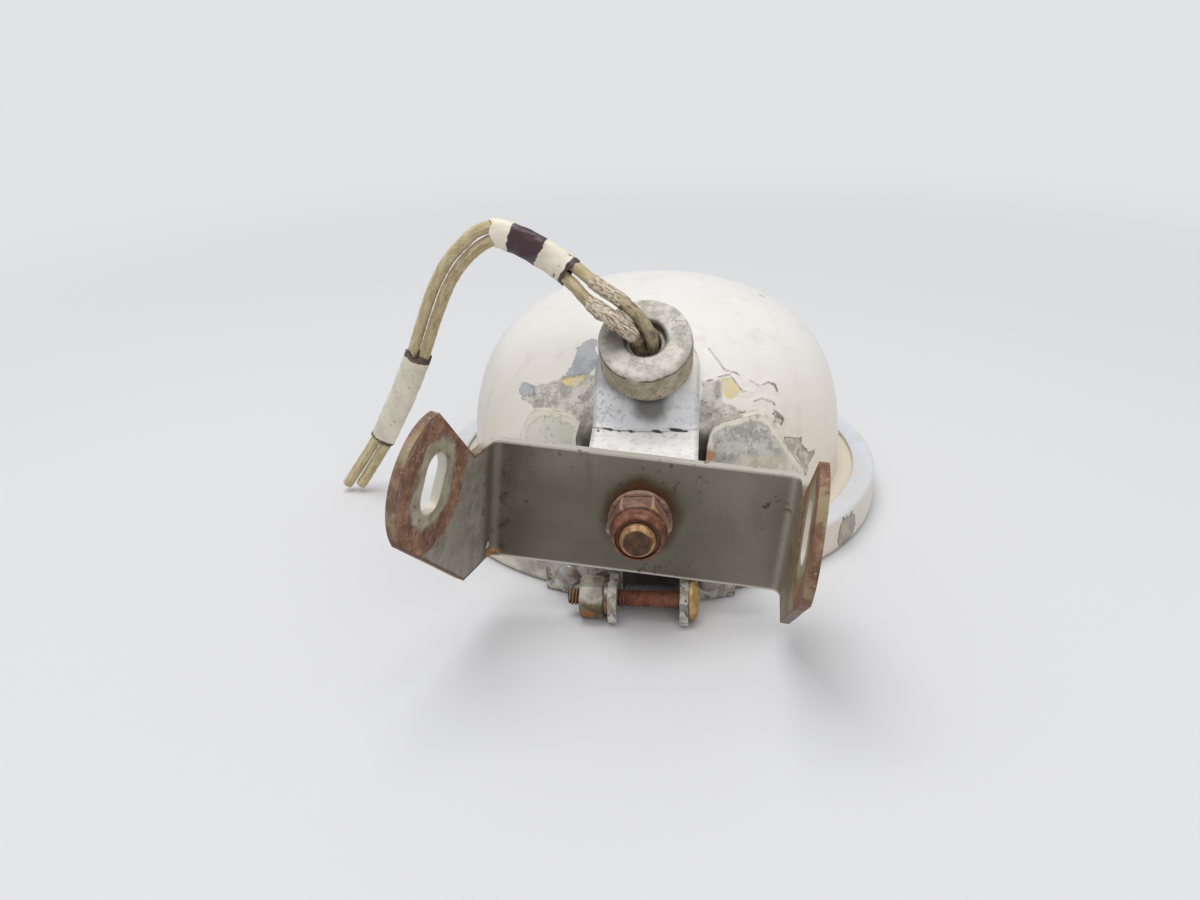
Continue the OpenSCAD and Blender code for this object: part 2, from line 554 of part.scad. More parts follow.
// The filament bar across the focus on two posts that bend out to the terminals
module lamp_filament() color("dimgray") at_lamp() {
    translate([-5.7, 0, focus_z]) rotate([0, 90, 0]) cylinder(r = 0.8, h = 11.4, $fn = 24);
    for (side = [-1, 1]) {
        translate([side * 4.8, 0, focus_z]) cylinder(r = 0.6, h = 10.8, $fn = 24);
        translate([side * 4.8, 0, focus_z + 10]) rotate([0, side * 90, 0]) translate([0, 0, -0.2])
            cylinder(r = 0.4, h = terminal_x - 4.4, $fn = 24);
        translate([side * terminal_x, 0, focus_z + 9.2])
            cylinder(r = 0.6, h = boss_z - focus_z - 9.6, $fn = 24);
    }
}
module lamp_terminals() color("darkgray") at_terminals() translate([0, 0, boss_z + fit_gap]) difference() {
    union() {
        cylinder(r = 5, h = 0.8, $fn = 48);
        cylinder(r = 4.2, h = ferrule_h, $fn = 48);
    }
    translate([0, 0, 0.8]) cylinder(r = 1.75, h = ferrule_h, $fn = 48);
}
module terminal_screws() color("darkgoldenrod") at_terminals()
    translate([0, 0, lug_z + lug_t + 2 * fit_gap]) difference() {
    rotate_extrude($fn = 48) polygon(concat([[0, -2.6], [1.7, -2.6], [1.7, 0], [3.6, 0]],
        [for (a = [0:15:90]) [3.6 * cos(a), 0.7 + 1.5 * sin(a)]]));
    translate([-5, -0.5, 1.2]) cube([10, 1, 3]);
}
// A ring lug with its wire barrel towards -Y
module lead_lugs() color("goldenrod") at_terminals() difference() {
    union() {
        translate([0, 0, lug_z + fit_gap]) cylinder(r = 3.9, h = lug_t, $fn = 48);
        translate([-1.6, -6, lug_z + fit_gap]) cube([3.2, 5, lug_t]);
        translate([0, -5.4, barrel_z]) facing_out() cylinder(r = 2.1, h = 6, $fn = 32);
    }
    translate([0, 0, lug_z - 1]) cylinder(r = 1.85, h = 4, $fn = 48);
    translate([0, -6, barrel_z]) facing_out() cylinder(r = wire_d / 2 + 0.05, h = 8, $fn = 32);
}

// The leads inside the dome run from the eyelet's mouth into the lug barrels
module inner_leads() color("tan") for (side = [-1, 1]) {
    start = [for (along = [eyelet_top, 0, -5]) grommet_point(side * wire_off, along)];
    bend = [for (p = lead_route) [side * p[0], p[1] + lamp_y, p[2]]];
    end = [for (y = [-12.4, -9, -6.2]) [side * terminal_x, y + lamp_y, barrel_z]];
    route = concat(start, bend, end);
    sweep(route, [for (p = route) [1, 0, 0]], oval(wire_d / 2, wire_d / 2, 8));
}
// A free wire leaves the eyelet along its axis and then follows its route
function wire_path(side, route) = concat([grommet_point(side * wire_off, eyelet_top),
    grommet_point(side * wire_off, grommet_top - 0.6)], route);
module free_wire(side, route) {
    path = wire_path(side, route);
    sweep(path, [for (p = path) [0, 1, 0.3]], oval(wire_d / 2, wire_d / 2, 8));
}
module wire_a() color("tan") free_wire(1, route_a);
module wire_b() color("burlywood") free_wire(-1, route_b);
// A sleeve round both wires, oval and open at its ends
module sleeve(span) {
    middle = [for (i = [span[0]:span[1]]) (route_a[i] + route_b[i]) / 2];
    across = [for (i = [span[0]:span[1]]) route_a[i] - route_b[i]];
    last = len(middle) - 1;
    difference() {
        sweep(middle, across, oval(sleeve_a, sleeve_b, 12));
        sweep(concat([2 * middle[0] - middle[1]], middle, [2 * middle[last] - middle[last - 1]]),
            concat([across[0]], across, [across[last]]), oval(sleeve_a - 0.35, sleeve_b - 0.35, 12));
    }
}
module sleeve_upper() color("ghostwhite") sleeve(upper_span);
module sleeve_lower() color("ghostwhite") sleeve(lower_span);

housing_shell();
saddle_plate();
saddle_rivets();
mounting_strap();
strap_rivets();
cable_grommet();
grommet_eyelet();
pivot_bolt();
pivot_washer();
pivot_stop_nut();
stop_nut_insert();
yoke_bracket();
clamp_band();
clamp_tab_left();
clamp_tab_right();
tab_rivets();
clamp_screw();
clamp_lock_washer();
clamp_nut();
rim_gasket();
lamp_lens();
lamp_reflector();
lamp_filament();
lamp_terminals();
terminal_screws();
lead_lugs();
inner_leads();
wire_a();
wire_b();
sleeve_upper();
sleeve_lower();
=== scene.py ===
# %% [markdown]
# # An aircraft taxi light, dressed
# The solids of the light come from its own source as one frame: a domed housing that lies on its clamp
# ring, a strap bracket with a swivel yoke, a cable grommet and two cut wires. Here each solid gets a skin
# and a finish that follow the real, worn light. The frame is loaded first.

# %% Load the frame
import math
import bmesh
import bpy
import numpy as np
from mathutils import Matrix, Vector
from mathutils.geometry import delaunay_2d_cdt


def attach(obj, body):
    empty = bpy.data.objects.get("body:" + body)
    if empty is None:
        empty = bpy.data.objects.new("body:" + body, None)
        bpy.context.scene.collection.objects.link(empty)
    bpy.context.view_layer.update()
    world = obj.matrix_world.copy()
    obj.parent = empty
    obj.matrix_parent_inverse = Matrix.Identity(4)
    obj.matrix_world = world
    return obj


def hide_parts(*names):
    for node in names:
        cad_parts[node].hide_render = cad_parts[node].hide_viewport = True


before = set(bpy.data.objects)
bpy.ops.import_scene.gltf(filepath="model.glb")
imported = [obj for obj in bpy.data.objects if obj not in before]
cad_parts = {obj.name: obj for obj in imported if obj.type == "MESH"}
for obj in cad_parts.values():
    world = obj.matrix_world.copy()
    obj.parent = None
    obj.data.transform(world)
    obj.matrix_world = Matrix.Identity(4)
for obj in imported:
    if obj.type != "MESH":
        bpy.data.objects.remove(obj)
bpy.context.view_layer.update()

# %% [markdown]
# All shapes below are worked out in millimetres about the lamp's axis, because the light is round
# about it. The axis stands a little behind the middle of the light, so one shift and one scale
# bring every array of points into the frame. A surface is an array of points with rows and columns,
# and the same small functions turn every such array into a mesh, close it and shade it.

# %% The lamp's axis and the step from millimetres to metres
LAMP_Y = 24.272
LAMP = np.array([0.0, LAMP_Y, 0.0])


def in_frame(points):
    """Millimetres about the lamp's axis, moved to the frame's own axis and turned into metres."""
    return (np.asarray(points, float) + LAMP) / 1000


# %% Quads of a grid of points
def quads(rows, cols, ring_rows=False, ring_cols=False, first=0):
    """Corner numbers of a grid's quads: (r, c), (r, c+1), (r+1, c+1), (r+1, c), counted row by row.
    A ring comes back to its first row or column."""
    r = np.arange(rows if ring_rows else rows - 1)[:, None]
    c = np.arange(cols if ring_cols else cols - 1)[None, :]
    r1, c1 = (r + 1) % rows, (c + 1) % cols
    corners = [r * cols + c, r * cols + c1, r1 * cols + c1, r1 * cols + c]
    return (np.stack(corners, -1).reshape(-1, 4) + first).tolist()


# %% A piece from points and faces
def make_piece(name, points, faces, body, replaces=(), marks=None, sharp=38, weld=True):
    """A mesh object at the origin, with its doubles merged, its faces turned outwards, smooth
    shading up to a sharp angle and one number a point for each named mark."""
    mesh = bpy.data.meshes.new(name)
    mesh.from_pydata(in_frame(points).tolist(), [], faces)
    for label, values in (marks or {}).items():
        mesh.attributes.new(label, "FLOAT", "POINT").data.foreach_set(
            "value", np.asarray(values, np.float32).ravel())
    if weld:
        work = bmesh.new()
        work.from_mesh(mesh)
        bmesh.ops.remove_doubles(work, verts=work.verts, dist=2e-6)
        bmesh.ops.dissolve_degenerate(work, edges=work.edges, dist=1e-6)
        bmesh.ops.recalc_face_normals(work, faces=work.faces)
        work.to_mesh(mesh)
        work.free()
    mesh.shade_smooth()
    mesh.set_sharp_from_angle(angle=math.radians(sharp))
    obj = bpy.data.objects.new(name, mesh)
    bpy.context.scene.collection.objects.link(obj)
    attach(obj, body)
    if replaces:
        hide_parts(*replaces)
    print(f"{name}: {len(mesh.vertices)} points, {len(mesh.polygons)} faces")
    return obj


# %% Rounded edges
def soften(obj, width, segments=2, angle=40):
    """A Bevel on every edge sharper than the angle; width in millimetres."""
    bevel = obj.modifiers.new("edges", "BEVEL")
    bevel.width, bevel.segments = width / 1000, segments
    bevel.limit_method, bevel.angle_limit = "ANGLE", math.radians(angle)
    bevel.harden_normals = False
    return obj


# %% [markdown]
# The camera comes first, with the cords. It was found from the clamp ring, the dome's outline and
# the floor line of the photograph: a 31 mm lens at about a quarter of a metre, looking down by 26
# degrees, so the dome's back runs away strongly. Its three axes are written out as rows.

# %% Camera
CAMERA_AT, CAMERA_LOOKS, CAMERA_ROLL = (0.0142, -0.24933, 0.1429), (-0.1003, 0.8944, -0.4359), -1.9
camera_data = bpy.data.cameras.new("view")
camera_data.sensor_width, camera_data.lens = 36, 31.2
camera_data.clip_start, camera_data.clip_end = 0.01, 20
camera = bpy.data.objects.new("view", camera_data)
bpy.context.scene.collection.objects.link(camera)
bpy.context.scene.camera = camera
looks = Vector(CAMERA_LOOKS).normalized()
right = looks.cross(Vector((0, 0, 1))).normalized()
roll = math.radians(CAMERA_ROLL)
upward = right.cross(looks)
right, upward = (right * math.cos(roll) + upward * math.sin(roll),
                 upward * math.cos(roll) - right * math.sin(roll))
camera.matrix_world = Matrix.Translation(CAMERA_AT) @ Matrix(
    (right, upward, -looks)).transposed().to_4x4()
print("camera axes:", [tuple(round(v, 4) for v in axis) for axis in (right, upward, looks)])

# %% [markdown]
# The two wires are old, stiff and cloth-covered. Each leaves the eyelet along its axis, arches over
# to the left and comes down to the floor, where it ends cut off. The route's points repeat those of
# the solids. A smooth curve is drawn through them and read off at even steps, and a round section is
# carried along it. A curve object with a bevel would do for a plain wire, but here the surface
# itself is wanted, because the covering has crossing threads that stand out by a few hundredths.

# %% A smooth route, read off at even steps
def smooth_route(points, step):
    """A curve through all the points: between p1 and p2 the place is the cubic that leaves along
    p2 - p0 and arrives along p3 - p1. It is then sampled again at one even distance."""
    p = np.asarray(points, float)
    p = np.vstack([2 * p[0] - p[1], p, 2 * p[-1] - p[-2]])
    t = np.linspace(0, 1, 16, endpoint=False)[None, :, None]
    p0, p1, p2, p3 = (p[i:len(p) - 3 + i, None, :] for i in range(4))
    curve = 0.5 * (2 * p1 + (p2 - p0) * t + (2 * p0 - 5 * p1 + 4 * p2 - p3) * t ** 2
                   + (3 * p1 - p0 - 3 * p2 + p3) * t ** 3)
    curve = np.vstack([curve.reshape(-1, 3), p[-2]])
    run = np.concatenate([[0], np.cumsum(np.linalg.norm(np.diff(curve, axis=0), axis=1))])
    even = np.linspace(0, run[-1], max(int(run[-1] / step), 4))
    return even, np.stack([np.interp(even, run, curve[:, k]) for k in range(3)], 1)


def unit(v):
    """Vectors divided by their lengths."""
    return v / np.maximum(np.linalg.norm(v, axis=-1, keepdims=True), 1e-12)


def carry(path, run, at, side_hint, across, height):
    """A section carried along a path. At each place on the run the direction is the path's slope,
    'side' is the hint made square to it and 'up' is their cross product; a point of the surface is
    path + across * side + height * up. All arrays have rows along and columns around."""
    slope = unit(np.gradient(path, run, axis=0))
    place = np.stack([np.interp(at, run, path[:, k]) for k in range(3)], -1)
    slope = unit(np.stack([np.interp(at, run, slope[:, k]) for k in range(3)], -1))
    if np.ndim(side_hint) == 2:
        side_hint = np.stack([np.interp(at, run, side_hint[:, k]) for k in range(3)], -1)
    side = unit(side_hint - (side_hint * slope).sum(-1, keepdims=True) * slope)
    up = np.cross(slope, side)
    return place + across[..., None] * side + height[..., None] * up


def ripple(seed, *coords, waves=7, low=0.6, high=3.0):
    """Smooth unevenness between about -1 and 1: a sum of sines that run in seeded directions."""
    rng = np.random.default_rng(seed)
    total = 0
    for _ in range(waves):
        turns = rng.uniform(low, high, len(coords)) * rng.choice([-1, 1], len(coords))
        total = total + np.sin(sum(k * c for k, c in zip(turns, coords)) + rng.uniform(0, 6.28))
    return total / math.sqrt(waves)


def tube_faces(rows, cols):
    """A grid closed round its columns, with a middle point for a fan at each end. The two middle
    points come after the grid."""
    faces = quads(rows, cols, ring_cols=True)
    k = np.arange(cols)
    low, high = rows * cols, rows * cols + 1
    faces += np.stack([np.full(cols, low), (k + 1) % cols, k], 1).tolist()
    k = k + (rows - 1) * cols
    faces += np.stack([np.full(cols, high), k, (k - k.min() + 1) % cols + k.min()], 1).tolist()
    return faces


def closed_tube(points):
    """The points of a grid with the middles of its first and last ring added."""
    flat = points.reshape(-1, 3)
    return np.vstack([flat, points[0].mean(0), points[-1].mean(0)])


# %% The wires' routes, from the eyelet to the cut ends
ROUTE_A = [(1.4, -22.3, 61.8), (0.5, -22.5, 63.6), (-1.1, -21.9, 65.8), (-3.6, -20.7, 68),
           (-6.5, -19, 69.8), (-9.5, -17.5, 71.2), (-13, -15, 73), (-16.6, -12.6, 75.2),
           (-21.5, -11, 78.2), (-27.5, -9.5, 81.2), (-32.4, -8.2, 83), (-36.5, -7.3, 83.7),
           (-41, -6.4, 82.3), (-44.8, -5.5, 79.2), (-49, -3.8, 75), (-52.8, -2, 69.6),
           (-56, -0.2, 63.8), (-59, 1.8, 57.4), (-63.4, 4.6, 47.4), (-66.8, 6.6, 40.6),
           (-70.6, 8.8, 33.4), (-74.8, 11, 26), (-79.2, 12.9, 18.4), (-83.4, 13.9, 12.2),
           (-87.4, 14.1, 6.6), (-90.6, 13.8, 2.2)]
ROUTE_B = [(-2.1, -22.5, 61.3), (-3.3, -23.1, 62.7), (-5.2, -22.8, 64.3), (-7.8, -21.6, 65.9),
           (-10.9, -19.8, 67.3), (-14.2, -17.2, 69.2), (-16.8, -14.8, 71.2), (-19.6, -12.9, 73),
           (-23.6, -11.2, 75.5), (-29, -9.7, 78.3), (-33.2, -8.4, 79.9), (-36.4, -7.5, 80.5),
           (-39.2, -6.8, 79.4), (-42.6, -5.7, 76.9), (-46.4, -4, 73), (-50, -2.2, 68),
           (-53, -0.4, 62.4), (-56, 1.6, 56.2), (-60.4, 4.4, 46.3), (-63.8, 6.4, 39.4),
           (-67.6, 8.6, 32.2), (-71.8, 10.8, 24.8), (-76.2, 12.7, 17.2), (-80.2, 13.7, 11.2),
           (-83.9, 13.9, 5.8), (-86.5, 13.6, 2.2)]
GROMMET_TILT = math.radians(38)
GROMMET_SEAT = np.array([0.0, -37.8, 50.2])
GROMMET_AXIS = np.array([0.0, -math.sin(GROMMET_TILT), math.cos(GROMMET_TILT)])
GROMMET_R = 11.2
WIRE_R, WIRE_ASIDE = 1.5, 1.65


def eyelet_start(side):
    """Two points on a wire's straight start: the grommet's seat moved along its axis."""
    return [GROMMET_SEAT + GROMMET_AXIS * along + (side * WIRE_ASIDE, 0, 0) for along in (10.5, 12.4)]


routes = {"wire_a": (1, np.array(ROUTE_A) - LAMP), "wire_b": (-1, np.array(ROUTE_B) - LAMP)}
runs = {}
for label, (side, route) in routes.items():
    runs[label] = smooth_route(np.vstack([eyelet_start(side), route]), 0.25)
    print(label, "is", round(float(runs[label][0][-1]), 1), "mm long")


# %% The wires with their braided covering
def braid(run, turn, threads=8, pitch=3.4):
    """Height of a braid's crossing threads: two families of ridges that wind opposite ways, the
    higher of the two at each place. Rows along the wire, columns around it."""
    one = np.abs(np.sin(threads / 2 * turn + math.pi * run / pitch * 2))
    two = np.abs(np.sin(threads / 2 * turn - math.pi * run / pitch * 2))
    return np.maximum(one, two)


def make_wire(label, seed, swelling):
    """One wire: a circle of radius 1.5 mm plus the braid and what the wear adds, carried along the route.
    'swelling' gives extra radius by distance from the eyelet. Gives back the piece and its cord's exit,
    length and path."""
    run, path = runs[label]
    turn = np.linspace(0, 2 * math.pi, 24, endpoint=False)[None, :]
    along = run[:, None]
    weave = braid(along, turn)
    thick = swelling(along, turn)
    uneven = 0.03 * ripple(seed, along * 0.5, turn * 0 + along)
    radius = WIRE_R - 0.02 + 0.035 * weave + thick + uneven
    radius = np.where(along > run[-1] - 0.35, radius * 0.93, radius)
    at = np.broadcast_to(along, radius.shape)
    points = carry(path, run, at, np.array([0.0, 1.0, 0.3]), radius * np.cos(turn),
                   radius * np.sin(turn))
    marks = {"along": at, "weave": weave, "east": np.cos(turn) + 0 * along,
             "north": np.sin(turn) + 0 * along, "wear": thick + 0 * weave}
    marks = {k: np.append(v.ravel(), [0.0, run[-1] if k == "along" else 0.0]) for k, v in marks.items()}
    obj = make_piece(label + "_braid", closed_tube(points), tube_faces(*radius.shape), "housing",
                     replaces=[label], sharp=60, weld=False, marks=marks)
    ends = in_frame(path)
    return obj, dict(exit=tuple(ends[0]), length=float(run[-1]) / 1000,
                     path=[tuple(p) for p in ends[::6]] + [tuple(ends[-1])])


def step_swelling(along, turn):
    """Wire A: a second layer from about 14.5 mm to 24 mm, with a ragged edge towards the eyelet."""
    edge = 14.5 + 0.8 * np.sin(2 * turn) + 0.5 * np.sin(5 * turn + 1)
    return np.where((along > edge) & (along < 24), 0.28, 0.0) * np.ones_like(turn)


def frayed_swelling(along, turn):
    """Wire B: a loosened wrap, widest 11 mm from the eyelet, with uneven lumps and creases."""
    bulge = np.clip(1 - ((along - 11.5) / 7.5) ** 2, 0, 1) ** 0.6
    lumps = 0.5 + 0.42 * ripple(17, along * 0.9, np.cos(turn) * 1.4, np.sin(turn) * 1.4, high=2.2)
    creases = np.abs(ripple(19, along * 1.1, np.cos(turn) * 2.2, np.sin(turn) * 2.2)) ** 0.5
    return bulge * (0.2 + 0.5 * np.clip(lumps, 0, 1) + 0.22 * np.clip(creases, 0, 1))


wire_a, facts_a = make_wire("wire_a", 3, step_swelling)
wire_b, facts_b = make_wire("wire_b", 5, frayed_swelling)

# %% [markdown]
# A finish is a small network of nodes. The light's paint, rust and rubber all need the same few
# steps: a noise, cells, a soft threshold, a mix of two colours and a bump. A class keeps these steps
# readable: it holds the tone so far, and each layer is laid over it, as a painter would. Everything
# is placed by Object coordinates in metres, or by a mark that a piece carries at its points, so that
# a pattern stays on the piece from any side.

# %% A finish under construction
def tint(r, g, b):
    """The linear colour of a screen colour given from 0 to 255."""
    c = np.array([r, g, b]) / 255
    return (*np.where(c <= 0.04045, c / 12.92, ((c + 0.055) / 1.055) ** 2.4).tolist(), 1.0)


class Finish:
    """A material whose methods add nodes and give back the socket with the result. 'tone' is the
    colour so far, and a colour is written as three numbers from 0 to 255."""

    def __init__(self, name, **fixed):
        self.material = bpy.data.materials.new(name)
        self.material.use_nodes = True
        tree = self.material.node_tree
        tree.nodes.clear()
        self.nodes, self.links, self.tone = tree.nodes, tree.links, None
        self.shader = self.nodes.new("ShaderNodeBsdfPrincipled")
        self.surface = self.nodes.new("ShaderNodeOutputMaterial").inputs["Surface"]
        self.links.new(self.shader.outputs[0], self.surface)
        self.place = self.nodes.new("ShaderNodeTexCoord").outputs["Object"]
        for key, value in fixed.items():
            self.shader.inputs[key.replace("_", " ")].default_value = value

    def feed(self, socket, value):
        """A value for a socket: another socket is linked to it, and anything else is set on it."""
        if isinstance(value, bpy.types.NodeSocket):
            self.links.new(value, socket)
        else:
            socket.default_value = value

    def add(self, kind, settings, inputs, output=0):
        """One node with its settings and inputs; gives back one of its outputs."""
        node = self.nodes.new(kind)
        for key, value in settings.items():
            setattr(node, key, value)
        for key, value in inputs.items():
            self.feed(node.inputs[key], value)
        return node.outputs[output]

    def noise(self, size, detail=3.0, rough=0.55, at=None):
        """Noise whose lumps are about 'size' millimetres across, from 0 to 1."""
        return self.add("ShaderNodeTexNoise", {}, {"Vector": at or self.place, "Scale": 700 / size,
                                                   "Detail": detail, "Roughness": rough})

    def cells(self, size, feature="F1", at=None):
        """Distances in a pattern of cells about 'size' millimetres across."""
        return self.add("ShaderNodeTexVoronoi", {"feature": feature},
                        {"Vector": at or self.place, "Scale": 1000 / size})

    def math(self, kind, a, b=0.0):
        """A step of arithmetic on two values."""
        return self.add("ShaderNodeMath", {"operation": kind}, {0: a, 1: b})

    def times(self, first, *others):
        """The product of any number of values."""
        for value in others:
            first = self.math("MULTIPLY", first, value)
        return first

    def plus(self, first, *others):
        """The sum of any number of values."""
        for value in others:
            first = self.math("ADD", first, value)
        return first

    def minus(self, a, b):
        """The first value less the second."""
        return self.math("SUBTRACT", a, b)

    def swing(self, amount, *noise):
        """Noise that swings about zero, by half the amount each way."""
        return self.times(self.minus(self.noise(*noise), 0.5), amount)

    def ragged(self, value, amount, *noise):
        """A value with 'amount' times a noise added, so that an edge drawn by it is ragged."""
        return self.plus(value, self.times(self.noise(*noise), amount))

    def band(self, value, low, high, to_low=0.0, to_high=1.0):
        """A soft step from one number to another between two thresholds."""
        return self.add("ShaderNodeMapRange", {"interpolation_type": "SMOOTHSTEP"}, {
            "Value": value, "From Min": low, "From Max": high, "To Min": to_low, "To Max": to_high})

    def below(self, value, low, high, most=1.0):
        """A soft step from 'most' down to zero."""
        return self.band(value, low, high, most, 0.0)

    def mix(self, share, a, b):
        """The first value with a share of the second over it."""
        a, b = (tint(*v) if isinstance(v, tuple) else v for v in (a, b))
        return self.add("ShaderNodeMix", {"data_type": "RGBA"}, {0: share, 6: a, 7: b}, output=2)

    def tones(self, value, low, high, one, two):
        """Two colours with a soft step from one to the other."""
        return self.mix(self.band(value, low, high), one, two)

    def lay(self, share, colour):
        """One more layer of colour over the tone so far."""
        self.tone = self.mix(share, self.tone, colour)

    def mark(self, name):
        """The number that the piece carries at its points under this name."""
        return self.add("ShaderNodeAttribute", {"attribute_name": name}, {}, output="Fac")

    def axis(self, which):
        """The place along one axis of the frame, in metres."""
        return self.add("ShaderNodeSeparateXYZ", {}, {0: self.place}, output=which)

    def vector(self, kind, a, b, output=0):
        """A step of arithmetic on two places."""
        return self.add("ShaderNodeVectorMath", {"operation": kind}, {0: a, 1: b}, output)

    def stretched(self, x, y, z):
        """The place with each axis scaled, for grain that runs one way."""
        return self.add("ShaderNodeMapping", {}, {"Vector": self.place, "Scale": (x, y, z)})

    def away(self, point):
        """Distance in millimetres from a point given about the lamp's axis."""
        metres = self.vector("DISTANCE", self.place, tuple(in_frame(point)), "Value")
        return self.times(metres, 1000.0)

    def front_away(self, x, z):
        """Distance in millimetres from a point as seen from the front, at any depth."""
        flat = self.vector("MULTIPLY", self.place, (1, 0, 1))
        return self.times(self.vector("DISTANCE", flat, (x / 1000, 0, z / 1000), "Value"), 1000.0)

    def joined(self, x, y, z):
        """A place made of three values."""
        return self.add("ShaderNodeCombineXYZ", {}, {0: x, 1: y, 2: z})

    def bump(self, height, depth, strength=1.0, after=None):
        """A bump whose height of 1 stands for 'depth' millimetres."""
        inputs = {"Height": height, "Distance": depth / 1000, "Strength": strength}
        if after is not None:
            inputs["Normal"] = after
        return self.add("ShaderNodeBump", {}, inputs)

    def done(self, colour, rough=None, normal=None, metal=None):
        """Feed the shader and give back the material."""
        self.feed(self.shader.inputs["Base Color"], colour)
        for key, value in (("Roughness", rough), ("Normal", normal), ("Metallic", metal)):
            if value is not None:
                self.feed(self.shader.inputs[key], value)
        return self.material


def wear(obj, material):
    """Put one finish on a piece or on a solid of the frame."""
    obj.data.materials.clear()
    obj.data.materials.append(material)
    return obj


# %% [markdown]
# The wires' covering is a fine lacquered braid that was once pale. It has yellowed to khaki and is
# dirtier close to the grommet. The lacquer hides most of the weave, so the streaks run lengthwise:
# the noise is read at a point made of the distance along the wire and a place on a small circle.

# %% Braid finish
def braid_finish(name, clean, dirty, gap):
    """Streaked cloth, sooty near the grommet, fluffy where the mark "wear" says so, with the darker
    tone 'gap' between the threads and dark nicks."""
    f = Finish(name, Roughness=0.55)
    run = f.mark("along")
    lengthwise = f.joined(f.times(run, 0.16), f.mark("east"), f.mark("north"))
    streak = f.add("ShaderNodeTexNoise", {}, {"Vector": lengthwise, "Scale": 1.5, "Detail": 5.0,
                                              "Roughness": 0.62})
    f.tone = f.mix(f.band(streak, 0.38, 0.66), clean, dirty)
    soot = f.below(f.ragged(run, 18.0, 5), 16.0, 44.0)
    blotch = f.band(f.noise(2.2, 5, 0.65), 0.46, 0.66)
    grime = f.times(soot, f.band(f.noise(1.8, 5), 0.3, 0.7, 0.25, 0.95))
    f.lay(f.times(blotch, 0.3), dirty)
    f.lay(grime, gap)
    worn = f.mark("wear")
    loose = f.joined(f.times(run, 0.4), f.times(f.mark("east"), 2.6), f.times(f.mark("north"), 2.6))
    strands = f.add("ShaderNodeTexNoise", {}, {"Vector": loose, "Scale": 1.6, "Detail": 4.0,
                                               "Roughness": 0.6})
    fluff = f.tones(strands, 0.38, 0.64, (222, 211, 190), (150, 128, 104))
    f.lay(f.band(worn, 0.06, 0.3, 0.0, 0.9), fluff)
    near_end = f.band(run, 30.0, 12.0, 0.0, 0.45)
    f.lay(f.times(near_end, f.band(strands, 0.5, 0.62)), (88, 72, 54))
    f.lay(f.times(near_end, f.band(strands, 0.46, 0.36)), (218, 206, 182))
    threads = f.below(f.mark("weave"), 0.55, 0.9)
    f.lay(f.times(threads, 0.16), gap)
    cuts = f.below(f.cells(2.4), 0.03, 0.12)
    f.lay(f.times(cuts, f.band(worn, 0.1, 0.3, 0.1, 0.55)), (92, 72, 54))
    rough = f.plus(f.noise(0.5, 4), f.times(strands, -1.2))
    normal = f.bump(f.plus(streak, f.times(rough, f.band(worn, 0.1, 0.3, 0.4, 1.6))), 0.12, 0.8)
    return f.done(f.tone, f.band(f.noise(1.5), 0.3, 0.7, 0.42, 0.68), normal)


wear(wire_a, braid_finish("braid_a", (212, 197, 158), (180, 161, 119), (100, 84, 62)))
wear(wire_b, braid_finish("braid_b", (204, 187, 148), (164, 145, 106), (92, 76, 56)))

# %% [markdown]
# Two vinyl sleeves hold the wires together. Each is a thin oval tube that follows the middle of the
# two routes. Its ends are torn, so the place where each column of the grid starts and stops varies
# round the tube, and slight waves make it look pulled tight over two wires.

# %% Sleeves
SLEEVE_ROWS, SLEEVE_COLUMNS = 110, 72
SLEEVE_A, SLEEVE_B, SLEEVE_WALL, SLEEVE_TORN = 3.6, 2.1, 0.3, 0.5


def make_sleeve(name, first, last, seed, node):
    """An outer and an inner oval wall round the middle of the two wires, from one point of the route
    to another, joined at their torn ends. Gives back the piece and its length."""
    mid = (routes["wire_a"][1] + routes["wire_b"][1]) / 2
    gap = routes["wire_a"][1] - routes["wire_b"][1]
    run, path = smooth_route(mid[first - 1:last + 2], 0.3)
    _, hint = smooth_route(gap[first - 1:last + 2], 0.3)
    share = np.linspace(0, 1, len(path))
    hint = np.stack([np.interp(share, np.linspace(0, 1, len(hint)), hint[:, k]) for k in range(3)], 1)
    stops = [run[np.argmin(np.linalg.norm(path - mid[i], axis=1))] for i in (first, last)]
    turn = np.linspace(0, 2 * math.pi, SLEEVE_COLUMNS, endpoint=False)[None, :]
    start, stop = (stops[i] + SLEEVE_TORN * ripple(seed + i, np.cos(turn) * 2, np.sin(turn) * 2, low=1)
                   for i in (0, 1))
    at = start + (stop - start) * np.linspace(0, 1, SLEEVE_ROWS)[:, None]
    waves = 0.06 * ripple(seed + 2, at * 0.55, np.cos(turn) * 2.5, np.sin(turn) * 2.5)
    lips = 0.18 * (np.exp(-(at - start) / 0.9) + np.exp(-(stop - at) / 0.9))
    walls = []
    for inset in (0.0, SLEEVE_WALL):
        a, b = SLEEVE_A - inset + waves, SLEEVE_B - inset + waves + lips
        walls.append(carry(path, run, at, hint, a * np.cos(turn), b * np.sin(turn)))
    points = np.vstack([walls[0], walls[1][::-1]])
    along = np.vstack([at, at[::-1]]) - stops[0]
    inside = np.vstack([at * 0, at * 0 + 1])
    faces = quads(2 * SLEEVE_ROWS, SLEEVE_COLUMNS, ring_rows=True, ring_cols=True)
    obj = make_piece(name, points.reshape(-1, 3), faces, "housing",
                     replaces=[node], sharp=50, marks={"along": along, "inside": inside})
    return obj, stops[1] - stops[0]


sleeve_high, _ = make_sleeve("sleeve_high", 7, 11, 21, "sleeve_upper")
sleeve_low, low_run = make_sleeve("sleeve_low", 18, 22, 31, "sleeve_lower")


